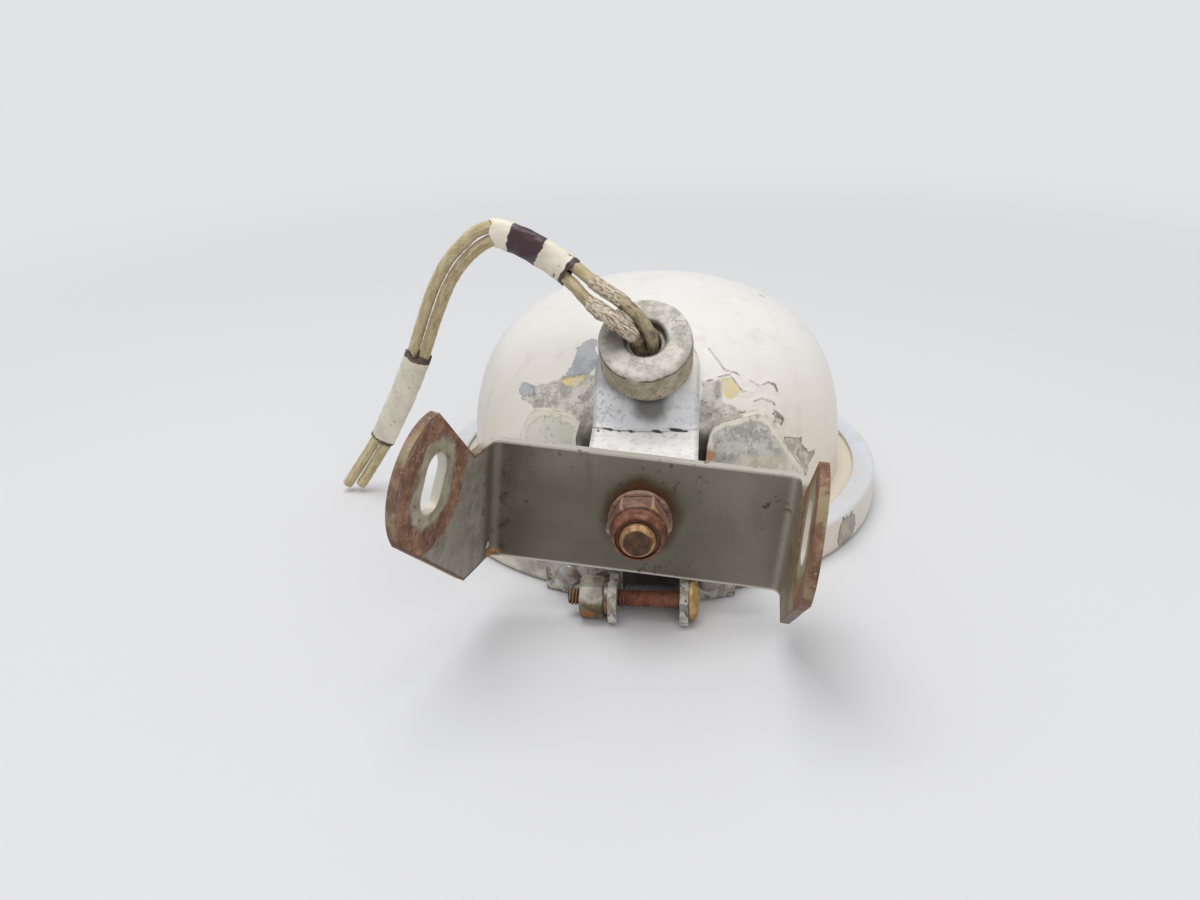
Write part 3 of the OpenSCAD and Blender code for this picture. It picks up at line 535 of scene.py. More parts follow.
# %% Sleeve finish
def sleeve_finish(name, bands, dirt, streaks=0.0):
    """White vinyl with dark stretches, each given by where it starts and ends along the sleeve and its two
    tones; the second tone is laid in clouds, as soil on most stretches and as a painted sheen on the upper
    maroon band. 'streaks' is how strongly red tears show near the first end."""
    f = Finish(name, Roughness=0.38)
    run = f.ragged(f.mark("along"), 2.4, 2.0, 4)
    f.tone = f.tones(f.noise(5, 4), 0.35, 0.7, (232, 224, 206), (208, 199, 180))
    specks = f.times(f.band(f.noise(0.6, 3), 0.62, 0.7), f.band(f.noise(4, 3), 0.45, 0.6), dirt)
    f.lay(specks, (122, 114, 106))
    f.lay(f.times(f.band(f.noise(1.8, 5, 0.7), 0.62, 0.7), dirt * 0.8), (134, 112, 104))
    # Clouds for a stretch's second tone, which is soil on most stretches and a painted sheen on the upper
    # maroon band.
    sheen = f.band(f.noise(3.5, 3), 0.42, 0.62)
    torn = f.times(f.band(f.noise(1.3, 5, 0.7), 0.56, 0.62), f.band(run, 7.5, 4.0, 0.0, streaks))
    f.lay(torn, (112, 58, 56))
    for low, high, colour, soil_and_sheen in bands:
        inside = f.times(f.band(run, low + 1.0, low + 1.3), f.below(run, high + 1.0, high + 1.3))
        f.lay(inside, f.mix(sheen, colour, soil_and_sheen))
    f.lay(f.mark("inside"), (62, 36, 38))
    return f.done(f.tone, f.band(f.noise(1.2), 0.35, 0.65, 0.28, 0.5), f.bump(f.noise(0.9, 4), 0.09, 0.6))


# The middle colour here is a painted bluish sheen for the upper maroon band.
MAROON, PAINTED_SHEEN, SOIL = (60, 34, 40), (78, 66, 78), (70, 54, 48)
HIGH_BANDS = [(-2, 1.2, MAROON, SOIL), (8.4, 16.8, MAROON, PAINTED_SHEEN)]
LOW_BANDS = [(-2, 1.9, SOIL, (104, 88, 78)), (low_run - 1.0, low_run + 3, SOIL, (96, 82, 72))]
wear(sleeve_high, sleeve_finish("sleeve_high_vinyl", HIGH_BANDS, 0.45, 0.8))
wear(sleeve_low, sleeve_finish("sleeve_low_vinyl", LOW_BANDS, 0.7))

# %% [markdown]
# The dome is spun from thin sheet: its profile is a squarish quarter oval, and a flat rim flange
# lies under the clamp ring. Turning a profile about the axis gives it exactly. The paint on it has
# flaked in known places, so the grid is fine enough to carry marks: for each point, how far inside
# each flaked patch it lies. The places are read in front view, sideways and up the profile.

# %% The dome's profile
DOME_R, DOME_BASE, DOME_RISE, DOME_POWER, DOME_T = 51.6, 10.0, 49.05, 2.76, 1.2


def dome_point(turn, out=0.0):
    """Radius and height of the oval (r/R)^p + (h/H)^p = 1 at a parameter angle, moved out along
    the profile's normal."""
    c, s = np.clip(np.cos(turn), 0, 1), np.clip(np.sin(turn), 0, 1)
    nr, nz = c ** (2 - 2 / DOME_POWER) / DOME_R, s ** (2 - 2 / DOME_POWER) / DOME_RISE
    size = np.hypot(nr, nz)
    return np.stack([DOME_R * c ** (2 / DOME_POWER) + out * nr / size,
                     DOME_BASE + DOME_RISE * s ** (2 / DOME_POWER) + out * nz / size], -1)


def even_profile(out, count):
    """The profile's points at even distances, from the base up to the top."""
    fine = dome_point(np.linspace(0, math.pi / 2, 900), out)
    run = np.concatenate([[0], np.cumsum(np.hypot(*np.diff(fine, axis=0).T))])
    at = np.linspace(0, run[-1], count)
    return np.stack([np.interp(at, run, fine[:, 0]), np.interp(at, run, fine[:, 1])], 1)


fine_profile = even_profile(0.0, 1200)
profile_run = np.concatenate([[0], np.cumsum(np.hypot(*np.diff(fine_profile, axis=0).T))])


def climb(z):
    """Distance up the profile from its base to a height."""
    return np.interp(z, fine_profile[:, 1], profile_run)


def dome_radius(z, out=0.0):
    """Radius of the dome, moved out along its normal, at a height."""
    table = even_profile(out, 600)
    return np.interp(z, table[:, 1], table[:, 0])


def lathe(profile, steps=360):
    """A profile of radius and height turned about the axis; a column's angle counts from -Y. The
    angles are even for a number of steps, or are given in degrees."""
    turn = np.arange(steps) / steps * 2 * math.pi if np.isscalar(steps) else np.radians(steps)
    r, z = np.asarray(profile, float).T
    return np.stack([r[:, None] * np.sin(turn), -r[:, None] * np.cos(turn),
                     np.repeat(z[:, None], len(turn), 1)], -1)


# %% Marks: how far a point lies inside an outline or from a line
def line_distance(x, y, line, closed=False):
    """Smallest distance from each point to the straight pieces of a line."""
    line = np.asarray(line, float)
    ends = np.roll(line, -1, 0) if closed else line[1:]
    starts = line if closed else line[:-1]
    best = np.full(np.shape(x), 1e9)
    for (ax, ay), (bx, by) in zip(starts, ends):
        dx, dy = bx - ax, by - ay
        t = np.clip(((x - ax) * dx + (y - ay) * dy) / (dx * dx + dy * dy + 1e-12), 0, 1)
        best = np.minimum(best, np.hypot(x - ax - t * dx, y - ay - t * dy))
    return best


def inside_distance(x, y, outline):
    """Distance to an outline's edge, positive inside it and negative outside."""
    outline = np.asarray(outline, float)
    odd = np.zeros(np.shape(x), bool)
    for (ax, ay), (bx, by) in zip(outline, np.roll(outline, -1, 0)):
        crosses = (ay > y) != (by > y)
        odd ^= crosses & (x < ax + (y - ay) * (bx - ax) / (by - ay + 1e-12))
    away = line_distance(x, y, outline, closed=True)
    return np.where(odd, away, -away)


def up_profile(points):
    """Front-view points (x, z) with z read as distance up the dome's profile."""
    p = np.asarray(points, float)
    return np.stack([p[:, 0], climb(p[:, 1])], 1)


# %% Where the dome's paint has gone
FLAKE_ZONES = [
    [(-22.2, 46.1), (-17, 48.6), (-12.9, 48.2), (-12.5, 39.7), (-15.5, 37.4), (-22.4, 40.4),
     (-27.7, 39.2), (-32.3, 40.2), (-29.3, 43.3)],
    [(13.1, 47.5), (17.3, 47.1), (18.7, 42.7), (22.9, 40.4), (27.2, 39.5), (21.6, 39.2),
     (16.1, 38.1), (13, 40.8)]]
PRIMER_PATCHES = [[(-14.6, 54.3), (-13.2, 54.2), (-12.8, 50.1), (-14.9, 48.2), (-20.5, 47.4),
                   (-18.5, 49.7), (-18.3, 52.3)],
                  [(-34, 41), (-32.5, 43.2), (-30.4, 43.4), (-29, 44.4), (-28.6, 42.2), (-31.5, 40.6)]]
YELLOW_PATCHES = [[(-22.2, 46.3), (-18, 47.6), (-14.9, 48.2), (-16.9, 46.1), (-20, 45.4)],
                  [(18, 47.4), (20.4, 47.1), (22.9, 44.1), (20.1, 42.7), (18.6, 44.5)]]
CRACKS = [
    [(14.7, 52.8), (17, 50.7), (18.7, 48.8), (21.5, 47.8), (22.6, 47.1)],
    [(14.2, 47.2), (17.3, 47.7), (19.8, 47.8), (20.6, 47.1), (23.2, 44), (25.5, 43.6)],
    [(22.6, 45.9), (24.9, 45.9), (27.5, 44.1), (29.5, 44.5), (31.3, 43.5), (31.9, 42)],
    [(26, 41.6), (27.8, 41.7), (30.7, 40.3), (31.3, 39.4)],
    [(30.7, 37.9), (31.9, 36.8), (33.7, 35.5)],
    [(31, 38.5), (33.7, 35.8), (32.9, 34.7)]]
CHIPS = [[(34, 31.6), (38.3, 29.5), (39, 26.8), (41, 24.6), (42.5, 24.5), (41.7, 22.7), (40.6, 21.7),
          (40.2, 18.7), (38.4, 21.3), (36.9, 24.5), (37.4, 25.8), (35.4, 27.4), (34.3, 29.5)],
         [(31, 37.4), (33.2, 36), (32.9, 34.7), (31.2, 36)]]


def best_of(x, y, outlines):
    """The largest inside distance over several outlines."""
    return np.max([inside_distance(x, y, up_profile(o)) for o in outlines], axis=0)


# %% The dome
def make_dome():
    """The shell's closed section, turned with steps of half a degree in front, where the paint has
    gone, and of 1.6 degrees behind."""
    outer = even_profile(0.0, 150)
    under = even_profile(-DOME_T, 30)[::-1]
    flange = [(50.4, 8.2), (60.6, 8.2), (60.6, 9.2), (53.6, 9.2), (52.4, 9.25), (51.85, 9.5)]
    profile = np.vstack([flange, outer[:-1], [(0.02, outer[-1, 1])], [(0.02, under[0, 1])], under[1:]])
    angles = np.concatenate([np.linspace(-74, 74, 296, endpoint=False),
                             np.linspace(74, 286, 132, endpoint=False)])
    points = lathe(profile, angles)
    x, y = points[..., 0], points[..., 1]
    rows, steps = points.shape[:2]
    up = climb(profile[:, 1])[:, None] * np.ones((1, steps))
    front = (y < 0) & (np.arange(rows)[:, None] < len(flange) + len(outer) + 1)
    marks = {"flake": best_of(x, up, FLAKE_ZONES), "primer": best_of(x, up, PRIMER_PATCHES),
             "yellow": best_of(x, up, YELLOW_PATCHES), "chip": best_of(x, up, CHIPS),
             "crack": -np.min([line_distance(x, up, up_profile(c)) for c in CRACKS], axis=0)}
    marks = {k: np.where(front, v, -50) for k, v in marks.items()}
    faces = quads(rows, steps, ring_rows=True, ring_cols=True)
    return make_piece("dome_skin", points.reshape(-1, 3), faces, "housing",
                      replaces=["housing_shell"], marks=marks, sharp=35)


dome = make_dome()

# %% [markdown]
# The paint is an aged off-white gloss. Where it has flaked, grey primer or pale undercoat shows, with a
# broken dark line at the edge that is partly dirt and partly painted shadow of the paint's edge, and paint
# curls up beside a crack, with a painted highlight on the curl. The marks give the place of each flake, a
# noise makes its edge ragged, and the bump sets the paint's thickness.

# %% Flaked paint, as a step that any painted finish can use
def flaked(f, mark, under, ragged=1.2, size=2.2, width=0.2, dirt=0.4, soft=0.08):
    """Lay 'under' where the mark, roughened by noise, is positive, with a broken dark line along the edge
    that is partly dirt and partly painted shadow of the paint's edge; give back where paint is left and
    where it has gone."""
    depth = f.plus(mark, f.swing(ragged * 2, size, 5, 0.6))
    bare = f.band(depth, -soft, soft)
    # The dark line along the paint's edge is partly dirt and partly painted shadow; 'dirt' sets its
    # strength.
    line = f.times(f.band(depth, -width, 0.0), f.below(depth, 0.05, width + 0.1),
                   f.band(f.noise(size * 2.5, 3), 0.4, 0.58, dirt * 0.25, dirt))
    f.lay(bare, under)
    f.lay(line, (92, 80, 68))
    return f.minus(1.0, bare), bare


# %% Cream paint, layer by layer
def cream_weather(f, height, across):
    """Aged gloss: yellower low down, darkened by painted shade at the far left, and with clouds, drips and
    fine pits.
    """
    f.tone = f.tones(height, 0.02, 0.056, (236, 227, 211), (235, 233, 227))
    f.lay(f.band(f.noise(24, 3), 0.3, 0.7, 0.0, 0.3), (212, 204, 190))
    # Painted shade: the far left of the dome is laid darker and greyer.
    f.lay(f.below(across, -0.052, -0.036, 0.45), (172, 168, 160))
    low_right = f.times(f.band(across, 0.016, 0.046), f.below(height, 0.018, 0.044, 0.6))
    f.lay(low_right, (230, 216, 194))
    f.lay(f.band(f.noise(7, 5, 0.65), 0.54, 0.74, 0.0, 0.3), (198, 188, 172))
    drips = f.noise(4, 4, 0.6, at=f.stretched(1, 1, 0.16))
    f.lay(f.band(drips, 0.56, 0.76, 0.0, 0.22), (188, 172, 148))
    pits = f.times(f.below(f.cells(2.6), 0.02, 0.06), f.band(f.noise(9, 2), 0.52, 0.66), 0.45)
    f.lay(pits, (150, 138, 118))


def rubble_tone(f):
    """Broken undercoat: two greys, pale crumbs and fine dark specks."""
    rubble = f.tones(f.noise(2.6, 5, 0.65), 0.4, 0.6, (212, 207, 198), (166, 162, 153))
    rubble = f.mix(f.band(f.noise(1.2, 4), 0.58, 0.66, 0.0, 0.6), rubble, (224, 219, 208))
    fine = f.band(f.noise(0.6, 4, 0.6), 0.58, 0.65)
    return f.mix(f.times(fine, 0.75), rubble, (104, 96, 84))


def cream_flakes(f, rubble):
    """The four kinds of flaked places in front. Each row has its mark, what lies under the paint,
    and how ragged, large, wide, dirty and soft its edge is. Gives back what paint is left and where
    each kind is bare."""
    primer = f.tones(f.noise(3), 0.4, 0.6, (164, 166, 173), (182, 182, 184))
    yellow = f.tones(f.noise(1.6, 4), 0.42, 0.6, (228, 203, 138), (214, 206, 176))
    shard = f.tones(f.noise(1.4, 4), 0.4, 0.6, (206, 196, 178), (168, 158, 142))
    kinds = [("flake", rubble, 1.7, 2.6, 0.2, 0.25, 0.45), ("primer", primer, 1.5, 1.8, 0.14, 0.45, 0.1),
             ("yellow", yellow, 1.2, 1.5, 0.1, 0.12, 0.35), ("chip", shard, 0.9, 1.0, 0.3, 0.75, 0.08)]
    left, bare = zip(*[flaked(f, f.mark(name), under, *edge) for name, under, *edge in kinds])
    return f.plus(*left), bare


def cream_cracks(f):
    """Dark cracks with the paint curled up beside them, and a painted highlight on the curled paint; gives
    back the height that they add.
    """
    crack = f.plus(f.mark("crack"), f.swing(0.5, 1.2, 5, 0.6))
    dark, curl_and_highlight = f.band(crack, -0.3, -0.12), f.band(crack, -1.5, -0.3)
    # Painted highlight: the curled paint beside a crack is laid a little lighter.
    f.lay(f.times(curl_and_highlight, 0.25), (236, 231, 222))
    f.lay(f.times(dark, f.band(f.noise(5, 2), 0.35, 0.6, 0.25, 0.8)), (104, 92, 78))
    return f.minus(f.times(curl_and_highlight, 0.9), dark)


def cream_gaps(f, height, across):
    """Dirt and painted shade in the gap between the strap and the pads, and a near-black painted shadow
    beside the strap below it, where it stands off the dome.
    """
    aside, front = f.math("ABSOLUTE", across), f.band(f.axis("Y"), 0.0, -0.01)
    # Dirt and painted shade in the gap beside the strap.
    gap = f.times(f.below(aside, 0.0128, 0.0172), f.band(height, 0.0455, 0.038), front,
                  f.band(f.noise(2.2, 5, 0.66), 0.34, 0.56, 0.25, 1.0), 0.8)
    f.lay(gap, (104, 92, 76))
    # Painted shadow: near black in the deep gap beside the strap's lower part.
    deep = f.times(f.below(aside, 0.015, 0.018), f.band(height, 0.0395, 0.0345), front, 0.92)
    f.lay(deep, (44, 36, 28))


def cream_back(f, rubble):
    """A few chips on the far side, in some of the cells of a pattern; gives back the paint left."""
    cells = f.cells(11, at=f.vector("ADD", f.place, (0.013, 0.004, 0.02)))
    far = f.times(f.below(cells, 0.0, 0.4, 3), f.band(f.axis("Y"), 0.0, 0.02),
                  f.band(f.noise(26, 2), 0.46, 0.56))
    return flaked(f, f.minus(far, 2.2), rubble, 1.0, 1.6, 0.16, 0.5)[0]


def cream_finish():
    """All layers of the dome's paint, then their relief: paint edges, a slight orange peel, and
    grit where the undercoat and the primer are bare."""
    f = Finish("cream_paint", Coat_Weight=0.3, Coat_Roughness=0.13, IOR=1.45)
    height, across, rubble = f.axis("Z"), f.axis("X"), rubble_tone(f)
    cream_weather(f, height, across)
    left, bare = cream_flakes(f, rubble)
    cracks = cream_cracks(f)
    cream_gaps(f, height, across)
    normal = f.bump(f.plus(left, cream_back(f, rubble), cracks), 0.16, 0.9)
    normal = f.bump(f.noise(3.0, 3), 0.05, 0.3, normal)
    normal = f.bump(f.times(f.noise(0.7, 4), f.plus(bare[0], bare[1])), 0.16, 0.7, normal)
    gloss = f.plus(f.band(f.noise(5, 4), 0.3, 0.7, 0.3, 0.44), f.times(bare[0], 0.4))
    return f.done(f.tone, gloss, normal)


wear(dome, cream_finish())

# %% [markdown]
# Bent sheet pieces are easier to draw flat. An outline with its holes is filled with a lattice of
# points, a constrained triangulation joins them, and one function then carries each flat point to
# its place in space at a given height above the sheet's middle. Two skins and the walls between
# their edges make a closed solid, just as the real piece was cut flat and then bent.

# %% A flat pattern made of triangles
def walk(outline, step):
    """An outline's points with more points along its long sides, at most one step apart."""
    outline = np.asarray(outline, float)
    out = []
    for a, b in zip(outline, np.roll(outline, -1, 0)):
        n = max(int(math.ceil(np.hypot(*(b - a)) / step)), 1)
        out.append(a + (b - a) * np.arange(n)[:, None] / n)
    return np.vstack(out)


def flat_pattern(outline, holes, step):
    """Points and triangles of a flat outline with holes; inner points stand on a lattice of
    equilateral triangles and keep half a step away from every edge."""
    loops = [walk(o, step) for o in [outline, *holes]]
    low, high = loops[0].min(0), loops[0].max(0)
    gx, gy = np.meshgrid(np.arange(low[0], high[0], step), np.arange(low[1], high[1], step * 0.866))
    gx = gx + (np.arange(len(gx)) % 2)[:, None] * step / 2
    keep = inside_distance(gx, gy, loops[0]) > step * 0.5
    for hole in loops[1:]:
        keep &= inside_distance(gx, gy, hole) < -step * 0.5
    points = np.vstack([*loops, np.stack([gx[keep], gy[keep]], 1)])
    edges, first = [], 0
    for loop in loops:
        k = np.arange(len(loop))
        edges += np.stack([k + first, (k + 1) % len(loop) + first], 1).tolist()
        first += len(loop)
    verts, _, tris, *_ = delaunay_2d_cdt([Vector(p) for p in points], edges, [], 0, 1e-7)
    verts, tris = np.array([tuple(v) for v in verts]), np.array([tuple(t) for t in tris])
    mid = verts[tris].mean(1)
    keep = inside_distance(mid[:, 0], mid[:, 1], loops[0]) > 0
    for hole in loops[1:]:
        keep &= inside_distance(mid[:, 0], mid[:, 1], hole) < 0
    return verts, tris[keep]


def sheet_solid(flat, tris, place, thick):
    """Two skins at plus and minus half the thickness, and a wall on each edge used only once."""
    n = len(flat)
    points = np.vstack([place(flat, thick / 2), place(flat, -thick / 2)])
    edges = np.vstack([tris[:, [0, 1]], tris[:, [1, 2]], tris[:, [2, 0]]])
    _, first, count = np.unique(np.sort(edges, 1), axis=0, return_index=True, return_counts=True)
    rim = edges[first[count == 1]]
    walls = np.stack([rim[:, 1], rim[:, 0], rim[:, 0] + n, rim[:, 1] + n], 1)
    return points, tris.tolist() + (tris[:, ::-1] + n).tolist() + walls.tolist()


def ring_points(centre, radius, count=48, start=0.0, stop=360.0):
    """Points of a circle or an arc, in degrees."""
    full = abs(stop - start) >= 360
    a = np.radians(np.linspace(start, stop, count, endpoint=not full))
    return np.stack([centre[0] + radius * np.cos(a), centre[1] + radius * np.sin(a)], 1)


# %% [markdown]
# The yoke is a steel strip bent twice. Its flat pattern is a long plate with a round ear at each
# end and an oblong slot in each ear. The left ear leans out by 17 degrees, the right one leans in
# by 3, and the whole yoke is turned on its bolt with the right end down.

# %% Yoke
YOKE_HALF, YOKE_UP, YOKE_DOWN, YOKE_T, BEND_R = 33.7, 15.0, 14.75, 2.0, 2.0
FLARE = {1: math.radians(-3), -1: math.radians(17)}
YOKE_ROLL = math.radians(6.7)
EAR_R, EAR_MIDDLE = 15.5, (25, 15.5)
SLOT_R, SLOT_HALF, SLOT_MIDDLE, SLOT_LEAN = 3.97, 2.38, (26.3, 16.2), math.radians(25)
BOLT_HOLE_R, YOKE_STEP = 4.05, 1.1
PIVOT = np.array([0.0, -70.1, 27.0])


def bend_of(side):
    """Flare, middle of the bend, its length along the sheet's middle and where the ear begins."""
    f = FLARE[side]
    centre = YOKE_HALF - BEND_R * math.tan(math.pi / 4 - f / 2)
    length = (BEND_R + YOKE_T / 2) * (math.pi / 2 - f)
    begins = (centre - YOKE_HALF) * math.sin(f) + BEND_R * math.cos(f)
    return f, centre, length, begins


def ear_station(side, u):
    """Distance along the flat strip of a point that lies u in front of the ear's fold."""
    _, centre, length, begins = bend_of(side)
    return side * (centre + length + u - begins)


def ear_edge(side):
    """The ear's outline from its lower corner round the end to its upper corner."""
    end = ring_points(EAR_MIDDLE, EAR_R, 26, -32, 92)
    edge = np.vstack([[(12.6, -YOKE_DOWN)], end, [(9.3, YOKE_UP)]])
    return np.stack([ear_station(side, edge[:, 0]), edge[:, 1]], 1)


def slot_edge(side):
    """The slot's outline: two half circles 4.76 mm apart, leaning by 25 degrees."""
    x, y = np.vstack([ring_points((0, SLOT_HALF), SLOT_R, 20, 0, 180),
                      ring_points((0, -SLOT_HALF), SLOT_R, 20, 180, 360)]).T
    c, s = math.cos(SLOT_LEAN), math.sin(SLOT_LEAN)
    u, v = SLOT_MIDDLE[0] + x * c - y * s, SLOT_MIDDLE[1] + x * s + y * c
    return np.stack([ear_station(side, u), v], 1)


def place_on_yoke(flat, w):
    """Flat point (station, height) to space: straight on the plate, on an arc of radius 3 + w in
    the bend, straight again on the ear; then the roll about the bolt and the pivot's place."""
    station, v = flat[:, 0], flat[:, 1]
    side = np.where(station > 0, 1.0, -1.0)
    f, centre, length, _ = (np.where(side > 0, a, b) for a, b in zip(bend_of(1), bend_of(-1)))
    q = np.abs(station)
    t = np.clip((q - centre) / length, 0, 1)
    a = math.pi / 2 + t * (f - math.pi / 2)
    past = np.maximum(q - centre - length, 0)
    w = w + 0.05 * ripple(41, station * 0.12, v * 0.12)
    r = BEND_R + YOKE_T / 2 + w
    x = np.minimum(q, centre) + r * np.cos(a) + past * np.sin(f)
    y = -BEND_R + r * np.sin(a) - past * np.cos(f)
    x = x * side
    c, s = math.cos(YOKE_ROLL), math.sin(YOKE_ROLL)
    return np.stack([x * c + v * s, y, -x * s + v * c], 1) + PIVOT


yoke_outline = np.vstack([ear_edge(1), ear_edge(-1)[::-1]])
slots = [slot_edge(1), slot_edge(-1)[::-1]]
flat, tris = flat_pattern(yoke_outline, [*slots, ring_points((0, 0), BOLT_HOLE_R, 40)], YOKE_STEP)
points, faces = sheet_solid(flat, tris, place_on_yoke, YOKE_T)
slot_off = -np.max([inside_distance(flat[:, 0], flat[:, 1], s) for s in slots], axis=0)
rim_off = inside_distance(flat[:, 0], flat[:, 1], yoke_outline)
fold_off = np.abs(flat[:, 0]) - np.where(flat[:, 0] > 0, ear_station(1, 0), -ear_station(-1, 0))
marks = {"slot_off": slot_off, "rim_off": rim_off, "fold_off": fold_off, "station": flat[:, 0],
         "height": flat[:, 1]}
yoke = make_piece("yoke_sheet", points, faces, "yoke", replaces=["yoke_bracket"],
                  marks={name: np.tile(values, 2) for name, values in marks.items()}, sharp=40)
soften(yoke, 0.25, 2, 50)


# %% Yoke steel finish
# The first colour is pale steel, also laid as the painted highlight along the bends; the second is the
# painted highlight along the plate's edge, also laid on the slot walls.
PALE_STEEL_AND_HIGHLIGHT, BRIGHT_EDGE = (152, 146, 132), (206, 200, 188)
RUSTY_CORNER, WHITE_FLECK = (-35.2, -70.5, 15.5), (-35.6, -71.5, 19.6)


def yoke_plate(f, brushed, cloud, station, fold):
    """Brushed olive-grey steel: paler at the right and along the top, with a painted highlight along the
    bends and mottled painted shade beside the left fold."""
    f.tone = f.tones(brushed, 0.25, 0.75, (114, 108, 94), (104, 98, 84))
    f.lay(f.times(cloud, 0.45), (90, 83, 69))
    f.lay(f.band(station, 8, 30, 0.0, 0.55), PALE_STEEL_AND_HIGHLIGHT)
    f.lay(f.band(f.mark("height"), 3, 14, 0.0, 0.3), PALE_STEEL_AND_HIGHLIGHT)
    streak = f.noise(3, 4, 0.6, at=f.stretched(1, 1, 0.15))
    f.lay(f.band(streak, 0.55, 0.78, 0.0, 0.3), (88, 76, 60))
    # Painted shade: mottled dark beside the left fold.
    beside = f.times(f.band(fold, -16, -4), f.band(station, 1, -1),
                     f.band(f.noise(6, 5, 0.62), 0.3, 0.6, 0.25, 0.75))
    f.lay(beside, (76, 68, 54))
    # Painted highlight along the bends, strongest at the right one.
    f.lay(f.times(f.band(fold, -3.2, -1.4), f.band(station, -1, 1, 0.3, 1.0)), PALE_STEEL_AND_HIGHLIGHT)


def yoke_ears(f, ear, right):
    """Grey on the left ear, browner on the right one."""
    grey = f.tones(f.noise(2.6, 5, 0.65), 0.36, 0.64, (160, 155, 142), (138, 131, 116))
    brown = f.tones(f.noise(3, 5), 0.36, 0.64, (146, 130, 98), (116, 98, 72))
    f.lay(ear, f.mix(right, grey, brown))


def yoke_rust(f, ear, right):
    """A ring of red and orange rust round each slot, narrower on the right ear, with worn steel
    inside it and a bright slot wall. Gives back where the rust is."""
    near = f.plus(f.mark("slot_off"), f.swing(7.5, 4, 5, 0.66))
    red = f.tones(f.noise(2.4, 5, 0.66), 0.38, 0.62, (92, 58, 42), (128, 82, 60))
    orange = f.tones(f.noise(1.6, 5, 0.6), 0.4, 0.6, (152, 108, 76), (122, 84, 62))
    rust = f.mix(f.band(f.noise(5, 4, 0.6), 0.44, 0.6), red, orange)
    rust = f.mix(f.band(f.noise(1.9, 5, 0.72), 0.54, 0.66, 0.0, 0.75), rust, (176, 140, 114))
    narrow = f.times(right, f.band(near, 4.0, 5.4, 0.15, 1.0))
    cover = f.times(f.band(near, 2.2, 4.4), f.below(near, 8.0, 9.6), ear,
                    f.plus(f.minus(1.0, right), narrow))
    f.lay(f.times(cover, 0.92), rust)
    worn = f.tones(f.noise(2.4, 5), 0.4, 0.6, (190, 184, 158), (160, 152, 126))
    f.lay(f.times(f.below(near, 2.4, 3.8), ear, 0.8), worn)
    f.lay(f.below(f.mark("slot_off"), 0.12, 0.5, 0.75), BRIGHT_EDGE)
    return cover


def yoke_rims(f, ear):
    """Rust and olive on the ears' rims, darker low down, and a painted highlight along the plate's edge."""
    edge = f.times(f.below(f.ragged(f.mark("rim_off"), 0.8, 2.5, 4), 0.7, 1.2, 0.8), ear)
    rust = f.tones(f.noise(3, 5, 0.66), 0.36, 0.56, (146, 108, 82), (104, 68, 48))
    f.lay(edge, f.mix(f.band(f.noise(5, 4), 0.52, 0.62), rust, (142, 126, 92)))
    f.lay(f.times(edge, f.band(f.mark("height"), 14, 2, 0.0, 0.8)), (92, 62, 46))
    # Painted highlight along the plate's edge.
    f.lay(f.times(f.below(f.mark("rim_off"), 0.25, 0.7, 0.85), f.minus(1.0, ear)), BRIGHT_EDGE)


def yoke_stains(f, fold, right):
    """A brown halo round the nut, an orange corner with a white fleck at the plate's lower left, and
    dark spots along the left fold. Gives back the halo."""
    middle = f.math("MINIMUM", f.away(PIVOT), f.away(PIVOT + (0.3, 0, 0.8)))
    spread = f.ragged(middle, 4.0, 3, 5, 0.62)
    halo = f.below(spread, 9.6, 12.6, 0.97)
    f.lay(halo, f.tones(spread, 9.5, 10.9, (76, 45, 14), (66, 56, 24)))
    corner = f.below(f.ragged(f.away(RUSTY_CORNER), 3.4, 1.4, 4), 3.8, 5.2, 0.85)
    f.lay(corner, f.tones(f.noise(1.2, 4), 0.4, 0.6, (176, 132, 66), (112, 78, 42)))
    fleck = f.ragged(f.away(WHITE_FLECK), 1.8, 0.8, 4)
    f.lay(f.below(fleck, 1.5, 1.9, 0.9), (232, 228, 218))
    spots = f.times(f.below(f.math("ABSOLUTE", f.plus(fold, 3.6)), 0.3, 1.5),
                    f.band(f.noise(1.5, 5, 0.66), 0.46, 0.66, 0.0, 0.75), f.minus(1.0, right))
    f.lay(spots, (58, 50, 40))
    return halo


def yoke_spots(f, ear):
    """Pits, pale grit on the ears, dark spots and bright flecks; gives back the pits."""
    pits = f.times(f.below(f.cells(1.5), 0.05, 0.16), f.band(f.noise(6, 3), 0.48, 0.6))
    f.lay(f.times(pits, 0.65), (66, 56, 46))
    f.lay(f.times(f.band(f.noise(0.6, 3), 0.63, 0.7), ear, 0.5), (186, 180, 166))
    dark = f.band(f.noise(1.5, 5, 0.66), 0.58, 0.66, 0.0, 0.75)
    f.lay(f.times(dark, f.band(f.noise(10, 3), 0.48, 0.58)), (66, 52, 38))
    flecks = f.times(f.below(f.cells(0.9), 0.04, 0.14, 0.7), f.band(f.noise(7, 3), 0.55, 0.66))
    f.lay(flecks, (196, 192, 182))
    return pits


